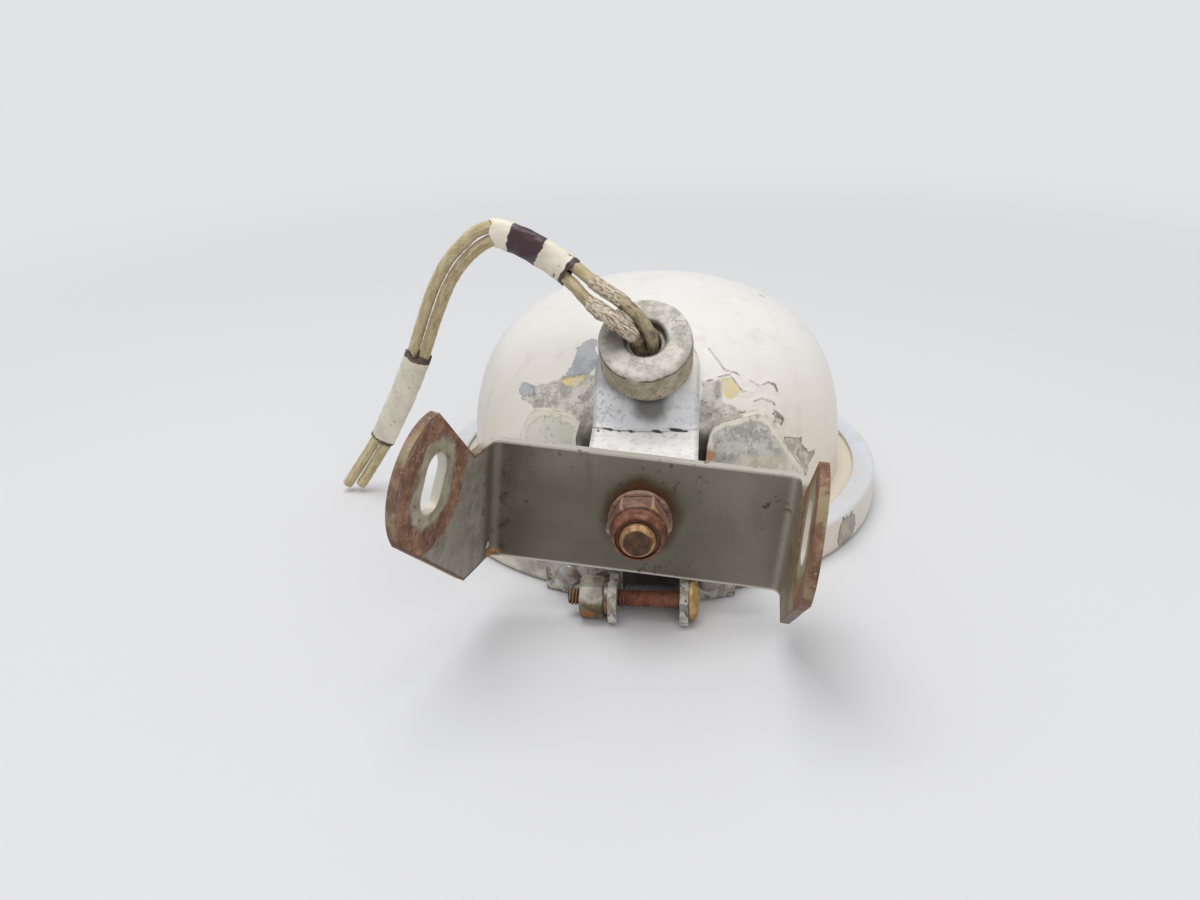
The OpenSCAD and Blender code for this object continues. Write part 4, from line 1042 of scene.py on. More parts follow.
def yoke_finish():
    """All layers of the yoke. 'fold' is the distance past a fold, 'ear' is one on the ears, and
    'right' is one on the right half; rust and stains are duller and less metallic."""
    f = Finish("yoke_steel")
    brushed = f.noise(4, 5, 0.62, at=f.stretched(0.16, 1, 1.0))
    cloud = f.band(f.noise(16, 4, 0.55), 0.35, 0.65)
    station, fold = f.mark("station"), f.mark("fold_off")
    ear, right = f.band(fold, 1.5, 6.0), f.band(station, -1, 1)
    yoke_plate(f, brushed, cloud, station, fold)
    yoke_ears(f, ear, right)
    cover = yoke_rust(f, ear, right)
    yoke_rims(f, ear)
    halo = yoke_stains(f, fold, right)
    pits = yoke_spots(f, ear)
    normal = f.bump(brushed, 0.03, 0.5)
    normal = f.bump(f.minus(f.times(f.noise(1.1, 5), cover), pits), 0.09, 0.7, normal)
    rough = f.plus(f.band(cloud, 0.0, 1.0, 0.4, 0.5), f.times(cover, 0.3))
    metal = f.minus(0.5, f.times(f.math("MAXIMUM", cover, halo), 0.45))
    return f.done(f.tone, rough, normal, f.times(metal, f.band(ear, 0.0, 1.0, 1.0, 0.45)))


wear(yoke, yoke_finish())

# %% [markdown]
# The strap is one strip of thin sheet. Its round upper end lies on the dome under the grommet, it
# follows the dome down to a crease, leaves it as a short shelf, turns down as the upright leg that
# carries the yoke, and comes back to the dome below. Each column of the grid runs the whole way
# down the strip, so the crease curves over the dome as it does on the real one.

# %% Points on the dome seen along the grommet's axis
GROMMET_UP = np.array([0.0, math.cos(GROMMET_TILT), math.sin(GROMMET_TILT)])


def along_axis(x, b, out):
    """The place where a line parallel to the grommet's axis meets the dome moved out by 'out':
    halving the stretch of the line 44 times."""
    table = even_profile(out, 700)
    base = GROMMET_SEAT + x[..., None] * np.array([1.0, 0, 0]) + b[..., None] * GROMMET_UP
    low, high = np.full(x.shape, -30.0), np.full(x.shape, 8.0)
    for _ in range(44):
        mid = (low + high) / 2
        p = base + mid[..., None] * GROMMET_AXIS
        wall = np.interp(p[..., 2], table[:, 1], table[:, 0], right=0.0)
        outside = np.hypot(p[..., 0], p[..., 1]) > wall
        low, high = np.where(outside, low, mid), np.where(outside, mid, high)
    return base + low[..., None] * GROMMET_AXIS


# %% The strap's surface, column by column
STRAP_HALF, STRAP_T, STRAP_COLUMNS = 12.7, 1.6, 53
OVER_DOME, BEHIND_LEG = 1.65, 1.75
SHELF_FRONT, SHELF_Z, SHELF_SLOPE, SHELF_END_Z = 65.7, 39.3, 0.1207, 36.68
LEG_BEND, LEG_MIDDLE, LEG_HIGH, LEG_LOW = 2.6, 65.4, 34.1, 17.6
FOOT_BEND, FOOT_LOW, FOOT_HIGH, FOOT_ROWS = 3.4, 18.4, 27.0, 16


def shelf_height(depth):
    """Height of the shelf at a depth, the distance in front of the lamp's axis."""
    return SHELF_Z - (depth - 44) * SHELF_SLOPE


def strap_cap(share):
    """Places round the grommet, seen along its axis: x and b, the distance up from its middle. The
    cap is a half circle that goes on as a straight strip."""
    phi = np.radians(np.linspace(4, 122, 40))[:, None]
    half = STRAP_HALF * np.sin(np.minimum(phi, math.pi / 2))
    return half * share, STRAP_HALF * np.cos(phi) * np.ones_like(share)


def strap_crease(x):
    """Depth of the crease for each x: the first place where the shelf comes out of the dome."""
    table = even_profile(OVER_DOME, 700)
    depth = np.linspace(40, 50, 400)[:, None]
    outside = np.hypot(x, depth) > np.interp(shelf_height(depth), table[:, 1], table[:, 0])
    return depth[np.argmax(outside, axis=0), 0]


def strap_leg():
    """Depth and height of the rows after the shelf: bend, leg, bend, return, bend and foot."""
    wall = dome_radius(18.5, BEHIND_LEG) + FOOT_BEND
    leg = np.linspace(LEG_HIGH, LEG_LOW, 14)[1:]
    back = np.linspace(LEG_MIDDLE, wall, 9)[1:]
    foot = np.linspace(FOOT_LOW, FOOT_HIGH, 9)[1:]
    return np.vstack([
        ring_points((LEG_MIDDLE, LEG_HIGH), LEG_BEND, 8, 74, 0),
        np.stack([np.full(len(leg), LEG_MIDDLE + LEG_BEND), leg], 1),
        ring_points((LEG_MIDDLE, LEG_LOW), LEG_BEND, 8, 0, -90)[1:],
        np.stack([back, np.full(len(back), LEG_LOW - LEG_BEND)], 1),
        ring_points((wall, FOOT_LOW), FOOT_BEND, 8, -90, -180)[1:],
        np.stack([dome_radius(foot, BEHIND_LEG), foot], 1)])


def strap_surface():
    """Rows round the grommet, down the dome to the crease, along the shelf and down the leg. The
    foot hugs the dome, and ten rounds of averaging soften the crease."""
    share = np.linspace(-1, 1, STRAP_COLUMNS)[None, :]
    x = STRAP_HALF * share
    cap_x, cap_b = strap_cap(share)
    depth = strap_crease(x)
    crease_b = (np.stack([x[0], -depth, shelf_height(depth)], 1) - GROMMET_SEAT) @ GROMMET_UP
    t = np.linspace(0, 1, 27)[1:, None]
    down_b = cap_b[-1, 0] * (1 - t) + crease_b[None, :] * t
    on_dome = along_axis(np.vstack([cap_x, x + 0 * down_b]), np.vstack([cap_b, down_b]), OVER_DOME)
    t = np.linspace(0, 1, 19)[1:, None]
    d = depth[None, :] * (1 - t) + SHELF_FRONT * t
    z = shelf_height(depth)[None, :] * (1 - t) + SHELF_END_Z * t
    leg = strap_leg()[:, :, None] + 0 * x
    d, z = np.vstack([d, leg[:, 0]]), np.vstack([z, leg[:, 1]])
    below = np.stack([x + 0 * d, -d, z], -1)
    foot = below[-FOOT_ROWS:]
    reach = dome_radius(foot[..., 2], BEHIND_LEG)
    hug = reach - np.sqrt(np.maximum(reach ** 2 - foot[..., 0] ** 2, 0))
    foot[..., 1] += hug * np.linspace(0.2, 1, FOOT_ROWS)[:, None]
    grid, crease = np.vstack([on_dome, below]), len(on_dome) - 1
    for _ in range(10):
        part = grid[crease - 8:crease + 9]
        grid[crease - 7:crease + 8] = (part[:-2] + 2 * part[1:-1] + part[2:]) / 4
    return grid, crease


def thicken(grid, thick):
    """The grid's points moved along minus its normal, the cross product of its two slopes."""
    down, over = np.gradient(grid, axis=0), np.gradient(grid, axis=1)
    return grid - thick * unit(np.cross(down, over))


def slab(front, back):
    """Faces of two grids of the same size and the walls round their border."""
    rows, cols = front.shape[:2]
    n = rows * cols
    k = np.arange(n).reshape(rows, cols)
    border = np.concatenate([k[0], k[1:, -1], k[-1, -2::-1], k[-2:0:-1, 0]])
    after = np.roll(border, -1)
    walls = np.stack([border, after, after + n, border + n], 1).tolist()
    low = [f[::-1] for f in quads(rows, cols, first=n)]
    return np.vstack([front.reshape(-1, 3), back.reshape(-1, 3)]), quads(rows, cols) + low + walls


strap_front, crease_row = strap_surface()
step = np.linalg.norm(np.diff(strap_front, axis=0), axis=-1)
strap_run = np.vstack([np.zeros((1, STRAP_COLUMNS)), np.cumsum(step, axis=0)])
strap_run = strap_run - strap_run[crease_row]
points, faces = slab(strap_front, thicken(strap_front, STRAP_T))
across = np.linspace(-STRAP_HALF, STRAP_HALF, STRAP_COLUMNS)[None, :]
edge_off = (STRAP_HALF - np.abs(across)) * np.ones_like(strap_run)

# %% Chips along the crease: place across and along, half sizes and slant
CREASE_CHIPS = [(-9, 0.2, 1.3, 0.4, 0.1), (-6.2, 0.5, 0.5, 0.25, 0), (-3.4, 0.3, 1.0, 0.4, 0.25),
                (2.8, 0.2, 1.3, 0.5, 0.3), (7.7, 0.1, 2.4, 0.55, 0.3), (-11.2, 1.2, 0.5, 0.5, 0)]
chipped = np.max([b * (1 - np.hypot((across - x) / a, (strap_run - r - lean * (across - x)) / b))
                  for x, r, a, b, lean in CREASE_CHIPS], axis=0)
marks = {"crease": strap_run, "edge_off": edge_off, "chipped": chipped}
strap = make_piece("strap_strip", points, faces, "housing",
                   replaces=["mounting_strap"], sharp=45,
                   marks={name: np.tile(values.ravel(), 2) for name, values in marks.items()})
soften(strap, 0.25, 2, 60)


# %% Strap finish: bluish white, with the paint broken off along the crease
def strap_finish():
    """Speckled bluish white, cream on the right of the round end and primer on its left, shaded under the
    grommet, with painted light on the upward shelf below the crease, and dirty along the edges and in the
    crease."""
    f = Finish("bluish_white_paint", Coat_Weight=0.15, Coat_Roughness=0.3)
    across = f.axis("X")
    f.tone = f.tones(f.noise(9, 4), 0.35, 0.65, (228, 228, 230), (214, 214, 218))
    f.lay(f.band(f.noise(2.2, 5, 0.66), 0.5, 0.7, 0.0, 0.5), (176, 174, 172))
    specks = f.times(f.band(f.noise(0.6, 3, 0.6), 0.54, 0.66), f.band(across, -0.013, 0.004, 1.0, 0.35))
    f.lay(f.times(specks, 0.65), (128, 126, 128))
    cap = f.band(f.plus(f.axis("Z"), f.swing(0.006, 3, 4)), 0.0455, 0.0475)
    f.lay(f.times(cap, f.band(across, -0.004, 0.002)), (232, 229, 220))
    f.lay(f.times(cap, f.below(across, -0.004, 0.002, 0.8)), (178, 179, 184))
    shade = f.ragged(f.away(GROMMET_SEAT - GROMMET_UP * 10.0 + (1.2, 0, 0)), 3.0, 2.4, 5, 0.62)
    f.lay(f.below(shade, 4.0, 7.4, 0.85), (72, 67, 62))
    run = f.mark("crease")
    shelf = f.band(run, 0.2, 1.0)
    # Painted light: the upward-facing shelf below the crease is laid brighter.
    f.lay(shelf, (240, 238, 233))
    f.lay(f.times(shelf, f.band(f.noise(1.8, 5, 0.66), 0.46, 0.6), 0.6), (216, 214, 210))
    bits = f.times(f.band(run, 0.8, 4.0, 1.0, 0.35), f.band(f.noise(0.9, 4), 0.62, 0.68))
    f.lay(f.times(bits, shelf, 0.6), (128, 126, 124))
    grime = f.below(f.mark("edge_off"), 0.2, 1.3)
    f.lay(f.times(grime, f.noise(1.5, 4), 0.8), (128, 118, 108))
    crack = f.ragged(f.math("ABSOLUTE", f.minus(run, 0.25)), 0.35, 2, 4)
    crack = f.times(f.below(crack, 0.22, 0.42), f.band(f.noise(5, 2), 0.4, 0.55, 0.25, 0.9))
    f.lay(crack, (128, 116, 104))
    paint, bare = flaked(f, f.mark("chipped"), (52, 47, 42), 0.35, 1.0, 0.2, 0.6, 0.06)
    normal = f.bump(f.minus(paint, f.times(crack, 0.7)), 0.2, 0.9)
    normal = f.bump(f.plus(f.noise(1.4, 4), f.times(shelf, f.noise(0.9, 5), 1.5)), 0.08, 0.6, normal)
    return f.done(f.tone, f.plus(f.band(f.noise(4), 0.3, 0.7, 0.36, 0.5), f.times(bare, 0.2)), normal)


wear(strap, strap_finish())

# %% [markdown]
# The saddle plate is a curved doubler between strap and dome. It shows as two pads, left and right
# of the strap, whose paint is dull grey-green in the middle and cream at the edges. Its outline is
# drawn in front view and carried straight back onto the dome.

# %% Saddle plate
SADDLE_T, SADDLE_MIDDLE = 1.6, 0.85


def place_on_dome(flat, w):
    """Front view (x, z) to the dome: y is minus the root of the moved-out radius squared less x
    squared, at the plate's middle plus w."""
    z = flat[:, 1]
    table = even_profile(SADDLE_MIDDLE + w, 700)
    r = np.interp(z, table[:, 1], table[:, 0])
    return np.stack([flat[:, 0], -np.sqrt(np.maximum(r ** 2 - flat[:, 0] ** 2, 1.0)), z], 1)


SADDLE_EDGE = [(-36, 11.6), (0, 11.6), (36.5, 11.6), (39.3, 15), (39.8, 19), (39.2, 22.2), (37.9, 24.6),
               (36.3, 27.2), (33.6, 31.6), (31.8, 34.6), (29.9, 37.2), (28.6, 38.7), (26.6, 39.5),
               (22, 39.7), (18.6, 39.5), (16.2, 38.6), (15.2, 36.9), (14.7, 34), (14.4, 30.2),
               (-15.6, 30.2), (-16.9, 33), (-17, 35.7), (-16.2, 38.5), (-18.4, 39.9), (-22.9, 40.3),
               (-25.9, 39.9), (-28.2, 39.2), (-29.8, 37.5), (-31.1, 35.2), (-32.2, 32.2), (-34, 27),
               (-35.8, 21), (-36.8, 15)]
flat, tris = flat_pattern(SADDLE_EDGE, [], 0.9)
points, faces = sheet_solid(flat, tris, place_on_dome, SADDLE_T)
pad_rim = inside_distance(flat[:, 0], flat[:, 1], SADDLE_EDGE)
saddle = make_piece("saddle_pads", points, faces, "housing", replaces=["saddle_plate"],
                    marks={"rim_off": np.tile(pad_rim, 2)}, sharp=40)
soften(saddle, 0.3, 2, 50)
SADDLE_RUST = (15.2, -48.6, 32.6)


def saddle_finish():
    """Grey-green primer over beige on the right pad, paler on the left one, cream paint left along the rim
    that is also a painted highlight on the raised edge, a rust spot beside the strap, and specks and scale
    on the right."""
    f = Finish("primer_paint")
    right = f.band(f.axis("X"), -0.002, 0.004)
    left_pad = f.tones(f.noise(8, 3), 0.38, 0.66, (222, 216, 202), (204, 204, 190))
    grey = f.tones(f.noise(3.4, 5, 0.7), 0.44, 0.56, (206, 203, 194), (166, 164, 157))
    grey = f.mix(f.band(f.noise(1.4, 5, 0.7), 0.56, 0.64, 0.0, 0.75), grey, (226, 220, 208))
    beige = f.tones(f.noise(2.4, 5, 0.6), 0.4, 0.6, (220, 211, 194), (198, 188, 168))
    split = f.plus(f.axis("Z"), f.swing(0.008, 6, 4))
    f.tone = f.mix(right, left_pad, f.mix(f.band(split, 0.0285, 0.0315), beige, grey))
    rim = f.mark("rim_off")
    cream = f.tones(f.noise(5), 0.3, 0.7, (236, 229, 215), (222, 214, 198))
    # Cream along the rim: paint left there, and a painted highlight on the pad's raised edge.
    _, bare = flaked(f, f.minus(1.3, rim), cream, 1.3, 2.6, 0.2, 0.2, 0.5)
    line = f.below(f.ragged(rim, 0.7, 1.2, 4), 0.4, 0.62)
    f.lay(f.times(line, f.band(f.noise(4, 3), 0.4, 0.6, 0.1, 0.6)), (116, 102, 86))
    rust = f.ragged(f.away(SADDLE_RUST), 3.0, 1.5, 4)
    f.lay(f.below(rust, 2.2, 3.8, 0.9), (186, 132, 88))
    low = f.times(f.below(split, 0.0285, 0.0315), right)
    specks = f.times(f.below(f.cells(1.3), 0.08, 0.2), f.band(f.noise(3, 3), 0.42, 0.56))
    f.lay(f.times(specks, f.plus(0.2, f.times(low, 0.6))), (96, 86, 70))
    scaly = f.times(f.band(f.noise(1.0, 5, 0.7), 0.57, 0.63), f.band(f.noise(5, 3), 0.46, 0.56))
    f.lay(f.times(scaly, 0.6), (134, 124, 106))
    normal = f.bump(bare, 0.1, 0.9)
    normal = f.bump(f.minus(f.noise(0.9, 5), specks), 0.1, 0.7, normal)
    return f.done(f.tone, f.band(f.noise(3), 0.3, 0.7, 0.42, 0.62), normal)


wear(saddle, saddle_finish())

# %% [markdown]
# The clamp ring is a rolled strip: a flat top flange, an upright wall and a lip that turns in under
# the lamp's rim. It is open at the front, where two tabs and a screw pull it together. The section
# is turned about the axis over all but that gap, and its two ends are closed.

# %% Clamp ring
RING_R, RING_STEPS = 62, 340
GAP_RIGHT, GAP_LEFT = 8.6, 5.2
CHIP_AT = (51.4, -34.8, 4.6)


def arc(cx, cy, r, start, stop, count):
    """Points of an arc as a list, for a section."""
    return [tuple(p) for p in ring_points((cx, cy), r, count, start, stop)]


def make_band():
    """The section, radius and height, turned about the axis from the gap's right end to its left
    one; the outer wall wavers by a tenth of a millimetre."""
    section = np.array([
        (56.0, 9.5), (60.1, 9.45), *arc(59.9, 8.5, 0.9, 70, 0, 4), (60.9, 1.9),
        *arc(60.1, 1.9, 0.8, 0, -90, 4), (57.9, 1.1), (54.7, 3.4), (54.6, 2.1), (57.5, 0.02),
        *arc(60.5, 1.5, 1.48, -90, 0, 7), (61.98, 5.0), (61.96, 8.6), *arc(60.6, 9.1, 1.35, 0, 86, 8),
        (58.6, 10.46), (56.5, 10.4), *arc(56.35, 10.0, 0.4, 90, 180, 4)])
    turn = np.linspace(math.asin(GAP_RIGHT / RING_R), 2 * math.pi - math.asin(GAP_LEFT / RING_R),
                       RING_STEPS)
    wobble = 0.10 * ripple(61, turn * 2.0)[None, :]
    r = section[:, :1] + np.where(section[:, :1] > 60, wobble - 0.1, 0)
    grid = np.stack([r * np.sin(turn), -r * np.cos(turn), section[:, 1:] + 0 * turn[None, :]], -1)
    faces = quads(len(section), RING_STEPS, ring_rows=True)
    k = np.arange(len(section)) * RING_STEPS
    faces += [k.tolist(), (k + RING_STEPS - 1)[::-1].tolist()]
    return make_piece("clamp_ring", grid.reshape(-1, 3), faces, "housing",
                      replaces=["clamp_band"], sharp=40)


band = make_band()


# %% Clamp ring finish
def ring_finish():
    """White with a bluish top that is a painted reflection, dirty and chipped towards the front, where one
    large chip is, with streaks and darker along its foot."""
    f = Finish("white_paint", Coat_Weight=0.2, Coat_Roughness=0.2)
    z = f.axis("Z")
    # Painted reflection: the top is laid bluish white.
    f.tone = f.tones(z, 0.0088, 0.0102, (224, 216, 198), (214, 219, 229))
    f.lay(f.times(f.band(f.noise(12, 3), 0.4, 0.65), 0.4), (202, 194, 178))
    front = f.below(f.axis("Y"), -0.034, -0.022)
    dirt = f.times(front, f.band(f.noise(4, 5, 0.65), 0.38, 0.58))
    f.lay(f.times(dirt, 0.8), (118, 112, 106))
    chip = f.minus(f.band(f.noise(7, 4, 0.6), 0.5, 0.8, -0.9, 1.6), 0.9)
    steel = f.tones(f.noise(2), 0.4, 0.6, (140, 138, 134), (170, 168, 160))
    paint, bare = flaked(f, f.plus(chip, f.times(front, 0.55)), steel, 0.5, 1.5, 0.12)
    primer = f.tones(f.noise(1.8, 4), 0.4, 0.6, (170, 160, 142), (142, 136, 126))
    paint2, _ = flaked(f, f.minus(4.4, f.away(CHIP_AT)), primer, 2.6, 2.0, 0.5, 1.0, 0.1)
    streaks = f.band(f.noise(5, 4, 0.6, at=f.stretched(1, 1, 0.3)), 0.62, 0.8)
    f.lay(f.times(streaks, 0.35), (158, 140, 112))
    foot = f.below(f.ragged(z, 0.002, 3, 4), 0.0012, 0.0034)
    f.lay(f.times(foot, 0.5), (128, 118, 104))
    normal = f.bump(f.plus(paint, paint2), 0.13, 0.9)
    normal = f.bump(f.noise(2.2, 4), 0.08, 0.45, normal)
    return f.done(f.tone, f.plus(f.band(f.noise(4), 0.3, 0.7, 0.3, 0.48), f.times(bare, 0.25)), normal)


wear(band, ring_finish())

# %% [markdown]
# The grommet is an old rubber ring, once pale, now mottled and crazed, with a pressed liner in its
# hole. Both are turned about the grommet's own axis and then leaned over onto the dome.

# %% Grommet and liner
GROMMET_RAISED, GROMMET_STEPS = 0.7, 200
SMUDGE_AT = (-7.6, -45.5, 59.0)


def on_grommet(points):
    """Points about the grommet's axis, moved to its seat on the dome and leaned by 38 degrees. The
    wires hang against the hole's lower side, so the ring sits a little above their middle."""
    p = np.asarray(points, float)
    return (GROMMET_SEAT + p[..., :1] * np.array([1.0, 0, 0]) + (p[..., 1:2] + GROMMET_RAISED) * GROMMET_UP
            + p[..., 2:] * GROMMET_AXIS)


def make_grommet():
    """A ring turned from its section, radius and height. Its outer wall and its face are made
    uneven by about a tenth of a millimetre."""
    wall = [(GROMMET_R, 3 + 0.72 * i) for i in range(13)]
    profile = np.array([
        (4.95, 1.78), (8, 1.78), (GROMMET_R - 1.0, 1.78), (GROMMET_R - 0.3, 2.2), *wall,
        *arc(GROMMET_R - 1.38, 11.6, 1.38, 0, 90, 8), (9.0, 13.02), (8.2, 12.98), (7.4, 12.96),
        (6.6, 12.9), *arc(5.65, 12.1, 0.8, 90, 180, 6), (4.86, 9.0), (4.86, 5.0)])
    grid = lathe(profile, GROMMET_STEPS)
    turn = np.arange(GROMMET_STEPS)[None, :] / GROMMET_STEPS * 2 * math.pi
    rise = profile[:, 1:]
    uneven = 0.11 * ripple(71, np.cos(turn) * 3, np.sin(turn) * 3, rise * 0.35)
    outer = np.where(profile[:, :1] > GROMMET_R - 1.2, 1.0, 0.0)
    r = np.hypot(grid[..., 0], grid[..., 1])
    grid[..., :2] *= (1 + outer * (uneven - 0.1) / r)[..., None]
    waves = 0.1 * ripple(72, grid[..., 0] * 0.4, grid[..., 1] * 0.4) - 0.08
    grid[..., 2] += np.where(rise > 12.5, waves, 0)
    return make_piece("grommet_ring", on_grommet(grid).reshape(-1, 3),
                      quads(len(profile), GROMMET_STEPS, ring_rows=True, ring_cols=True), "housing",
                      replaces=["cable_grommet"], sharp=50,
                      marks={"hole": np.hypot(grid[..., 0], grid[..., 1]),
                             "rise": np.repeat(rise, GROMMET_STEPS, 1)})


grommet = make_grommet()


# %% Grommet finish
def grommet_finish():
    """Khaki below and pale and mottled on the face, with a smudge at the left, a dark seam round the wall,
    crazing, pits, blotches and flaking skin, and painted shade low on the wall and inside the hole.
    'turned' is one on the face."""
    f = Finish("grommet_rubber")
    khaki = f.tones(f.noise(4, 5, 0.6), 0.35, 0.65, (190, 180, 158), (160, 148, 124))
    mottled = f.tones(f.noise(2.6, 5, 0.7), 0.4, 0.6, (214, 209, 199), (180, 174, 162))
    mottled = f.mix(f.band(f.noise(3.4, 3), 0.55, 0.7, 0.0, 0.4), mottled, (200, 186, 176))
    rise = f.mark("rise")
    turned = f.band(f.ragged(rise, 1.4, 3, 4), 11.6, 12.6)
    f.tone = f.mix(turned, khaki, mottled)
    smudge = f.ragged(f.away(SMUDGE_AT), 5.0, 2, 5)
    f.lay(f.below(smudge, 4.4, 8.6, 0.75), (84, 80, 76))
    seam = f.math("ABSOLUTE", f.minus(rise, f.ragged(11.0, 1.2, 2.5, 4)))
    seam = f.times(f.below(seam, 0.12, 0.5), f.band(f.noise(6, 2), 0.42, 0.5))
    f.lay(f.times(seam, 0.9), (66, 56, 42))
    lines = f.below(f.cells(3.2, "DISTANCE_TO_EDGE"), 0.01, 0.035)
    lines = f.times(lines, f.band(f.noise(5, 2), 0.52, 0.66))
    f.lay(f.times(lines, 0.3), (104, 92, 76))
    pits = f.times(f.below(f.cells(1.1), 0.12, 0.26), f.band(f.noise(3.5, 4), 0.42, 0.54))
    pits = f.times(pits, f.band(turned, 0.0, 1.0, 1.0, 0.3))
    f.lay(f.times(pits, 0.8), (84, 72, 50))
    blotch = f.times(f.band(f.noise(2.0, 5, 0.7), 0.56, 0.66), f.band(turned, 0.0, 1.0, 0.5, 0.2))
    f.lay(blotch, (132, 118, 90))
    skin = f.band(f.noise(1.7, 5, 0.7, at=f.stretched(0.6, 1, 1.3)), 0.54, 0.6)
    flake = f.times(skin, f.band(turned, 0.0, 1.0, 0.8, 0.1), f.band(f.noise(7, 2), 0.44, 0.54))
    f.lay(flake, (78, 68, 52))
    worn = f.band(f.noise(1.0, 5, 0.72), 0.56, 0.64, 0.0, 0.75)
    f.lay(f.times(worn, f.band(f.noise(8, 2), 0.45, 0.6)), (120, 114, 104))
    # Painted shade low on the wall, where the grommet sits on the strap.
    f.lay(f.below(rise, 2.0, 4.0, 0.5), (104, 92, 76))
    # Painted shade inside the hole.
    f.lay(f.below(f.mark("hole"), 5.0, 5.9, 0.7), (74, 66, 58))
    drop = f.plus(seam, pits, lines)
    normal = f.bump(f.minus(f.noise(1.6, 5), drop), 0.18, 0.8)
    return f.done(f.tone, f.band(f.noise(2), 0.3, 0.7, 0.6, 0.8), normal)


wear(grommet, grommet_finish())


# %% Liner in the grommet's hole
def make_liner():
    """A thin tube with a flange below and a rounded lip above, turned from its section."""
    profile = [(3.7, -3), (6.15, -3), (6.15, -1.8), (4.8, -1.8), (4.8, 10.3),
               *arc(4.4, 10.2, 0.35, 20, 90, 4), *arc(4.1, 10.2, 0.35, 90, 170, 4), (3.72, 9.6), (3.7, 6)]
    steps = 96
    return make_piece("eyelet_liner", on_grommet(lathe(profile, steps)).reshape(-1, 3),
                      quads(len(profile), steps, ring_rows=True, ring_cols=True), "housing",
                      replaces=["grommet_eyelet"], sharp=50)


def liner_finish():
    """Pale fibre, cloudy and slightly rough."""
    f = Finish("eyelet_fibre")
    tone = f.tones(f.noise(1.6, 4), 0.4, 0.6, (176, 172, 162), (132, 126, 116))
    return f.done(tone, 0.6, f.bump(f.noise(0.9, 4), 0.06, 0.6))


wear(make_liner(), liner_finish())

# %% [markdown]
# Nuts, screws, washers and rivets keep the shape of their solids. A solid's mesh is loose triangles,
# so a copy of it is merged, its flat faces are joined again, and a small Bevel rounds its edges,
# because no pressed or turned edge is perfectly sharp and a round edge catches the light.

# %% Merged and rounded copies of the small solids
def merged_copy(node, name, body, width, angle=30):
    """A piece in the place of a solid: its mesh merged, shaded, and bevelled by 'width' in
    millimetres."""
    work = bmesh.new()
    work.from_mesh(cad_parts[node].data)
    bmesh.ops.remove_doubles(work, verts=work.verts, dist=2e-6)
    bmesh.ops.dissolve_limit(work, angle_limit=math.radians(0.6), verts=work.verts, edges=work.edges)
    mesh = bpy.data.meshes.new(name)
    work.to_mesh(mesh)
    work.free()
    mesh.shade_smooth()
    mesh.set_sharp_from_angle(angle=math.radians(angle))
    obj = bpy.data.objects.new(name, mesh)
    bpy.context.scene.collection.objects.link(obj)
    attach(obj, body)
    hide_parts(node)
    return soften(obj, width, 2, angle)


# %% Rust, at any stage from stained metal to a crust
def rust_finish(name, share, deep, light, metal, under, size=1.6, metallic=0.6):
    """Rust of two tones over metal; 'share' is how much of the surface it covers."""
    f = Finish(name)
    crust = f.mix(f.band(f.noise(size, 5, 0.65), 0.38, 0.62), deep, light)
    crust = f.mix(f.times(f.band(f.noise(size * 0.6, 4), 0.6, 0.72), 0.6), crust, (190, 126, 66))
    cover = f.band(f.noise(size * 2.2, 5, 0.62), 0.62 - share * 0.45, 0.78 - share * 0.45)
    base = f.mix(f.band(f.noise(size * 2), 0.35, 0.65), metal, under)
    f.tone = f.mix(cover, base, crust)
    pits = f.times(f.below(f.cells(size * 0.7), 0.05, 0.2), cover)
    f.lay(f.times(pits, 0.6), (58, 34, 26))
    normal = f.bump(f.minus(f.times(f.noise(size * 0.4, 5), cover), pits), 0.1, 0.8)
    return f.done(f.tone, f.band(cover, 0.0, 1.0, 0.42, 0.8), normal,
                  f.band(cover, 0.0, 1.0, metallic, 0.05))


CORNER_STEP, CORNER_FIRST = 60.0, 3.0


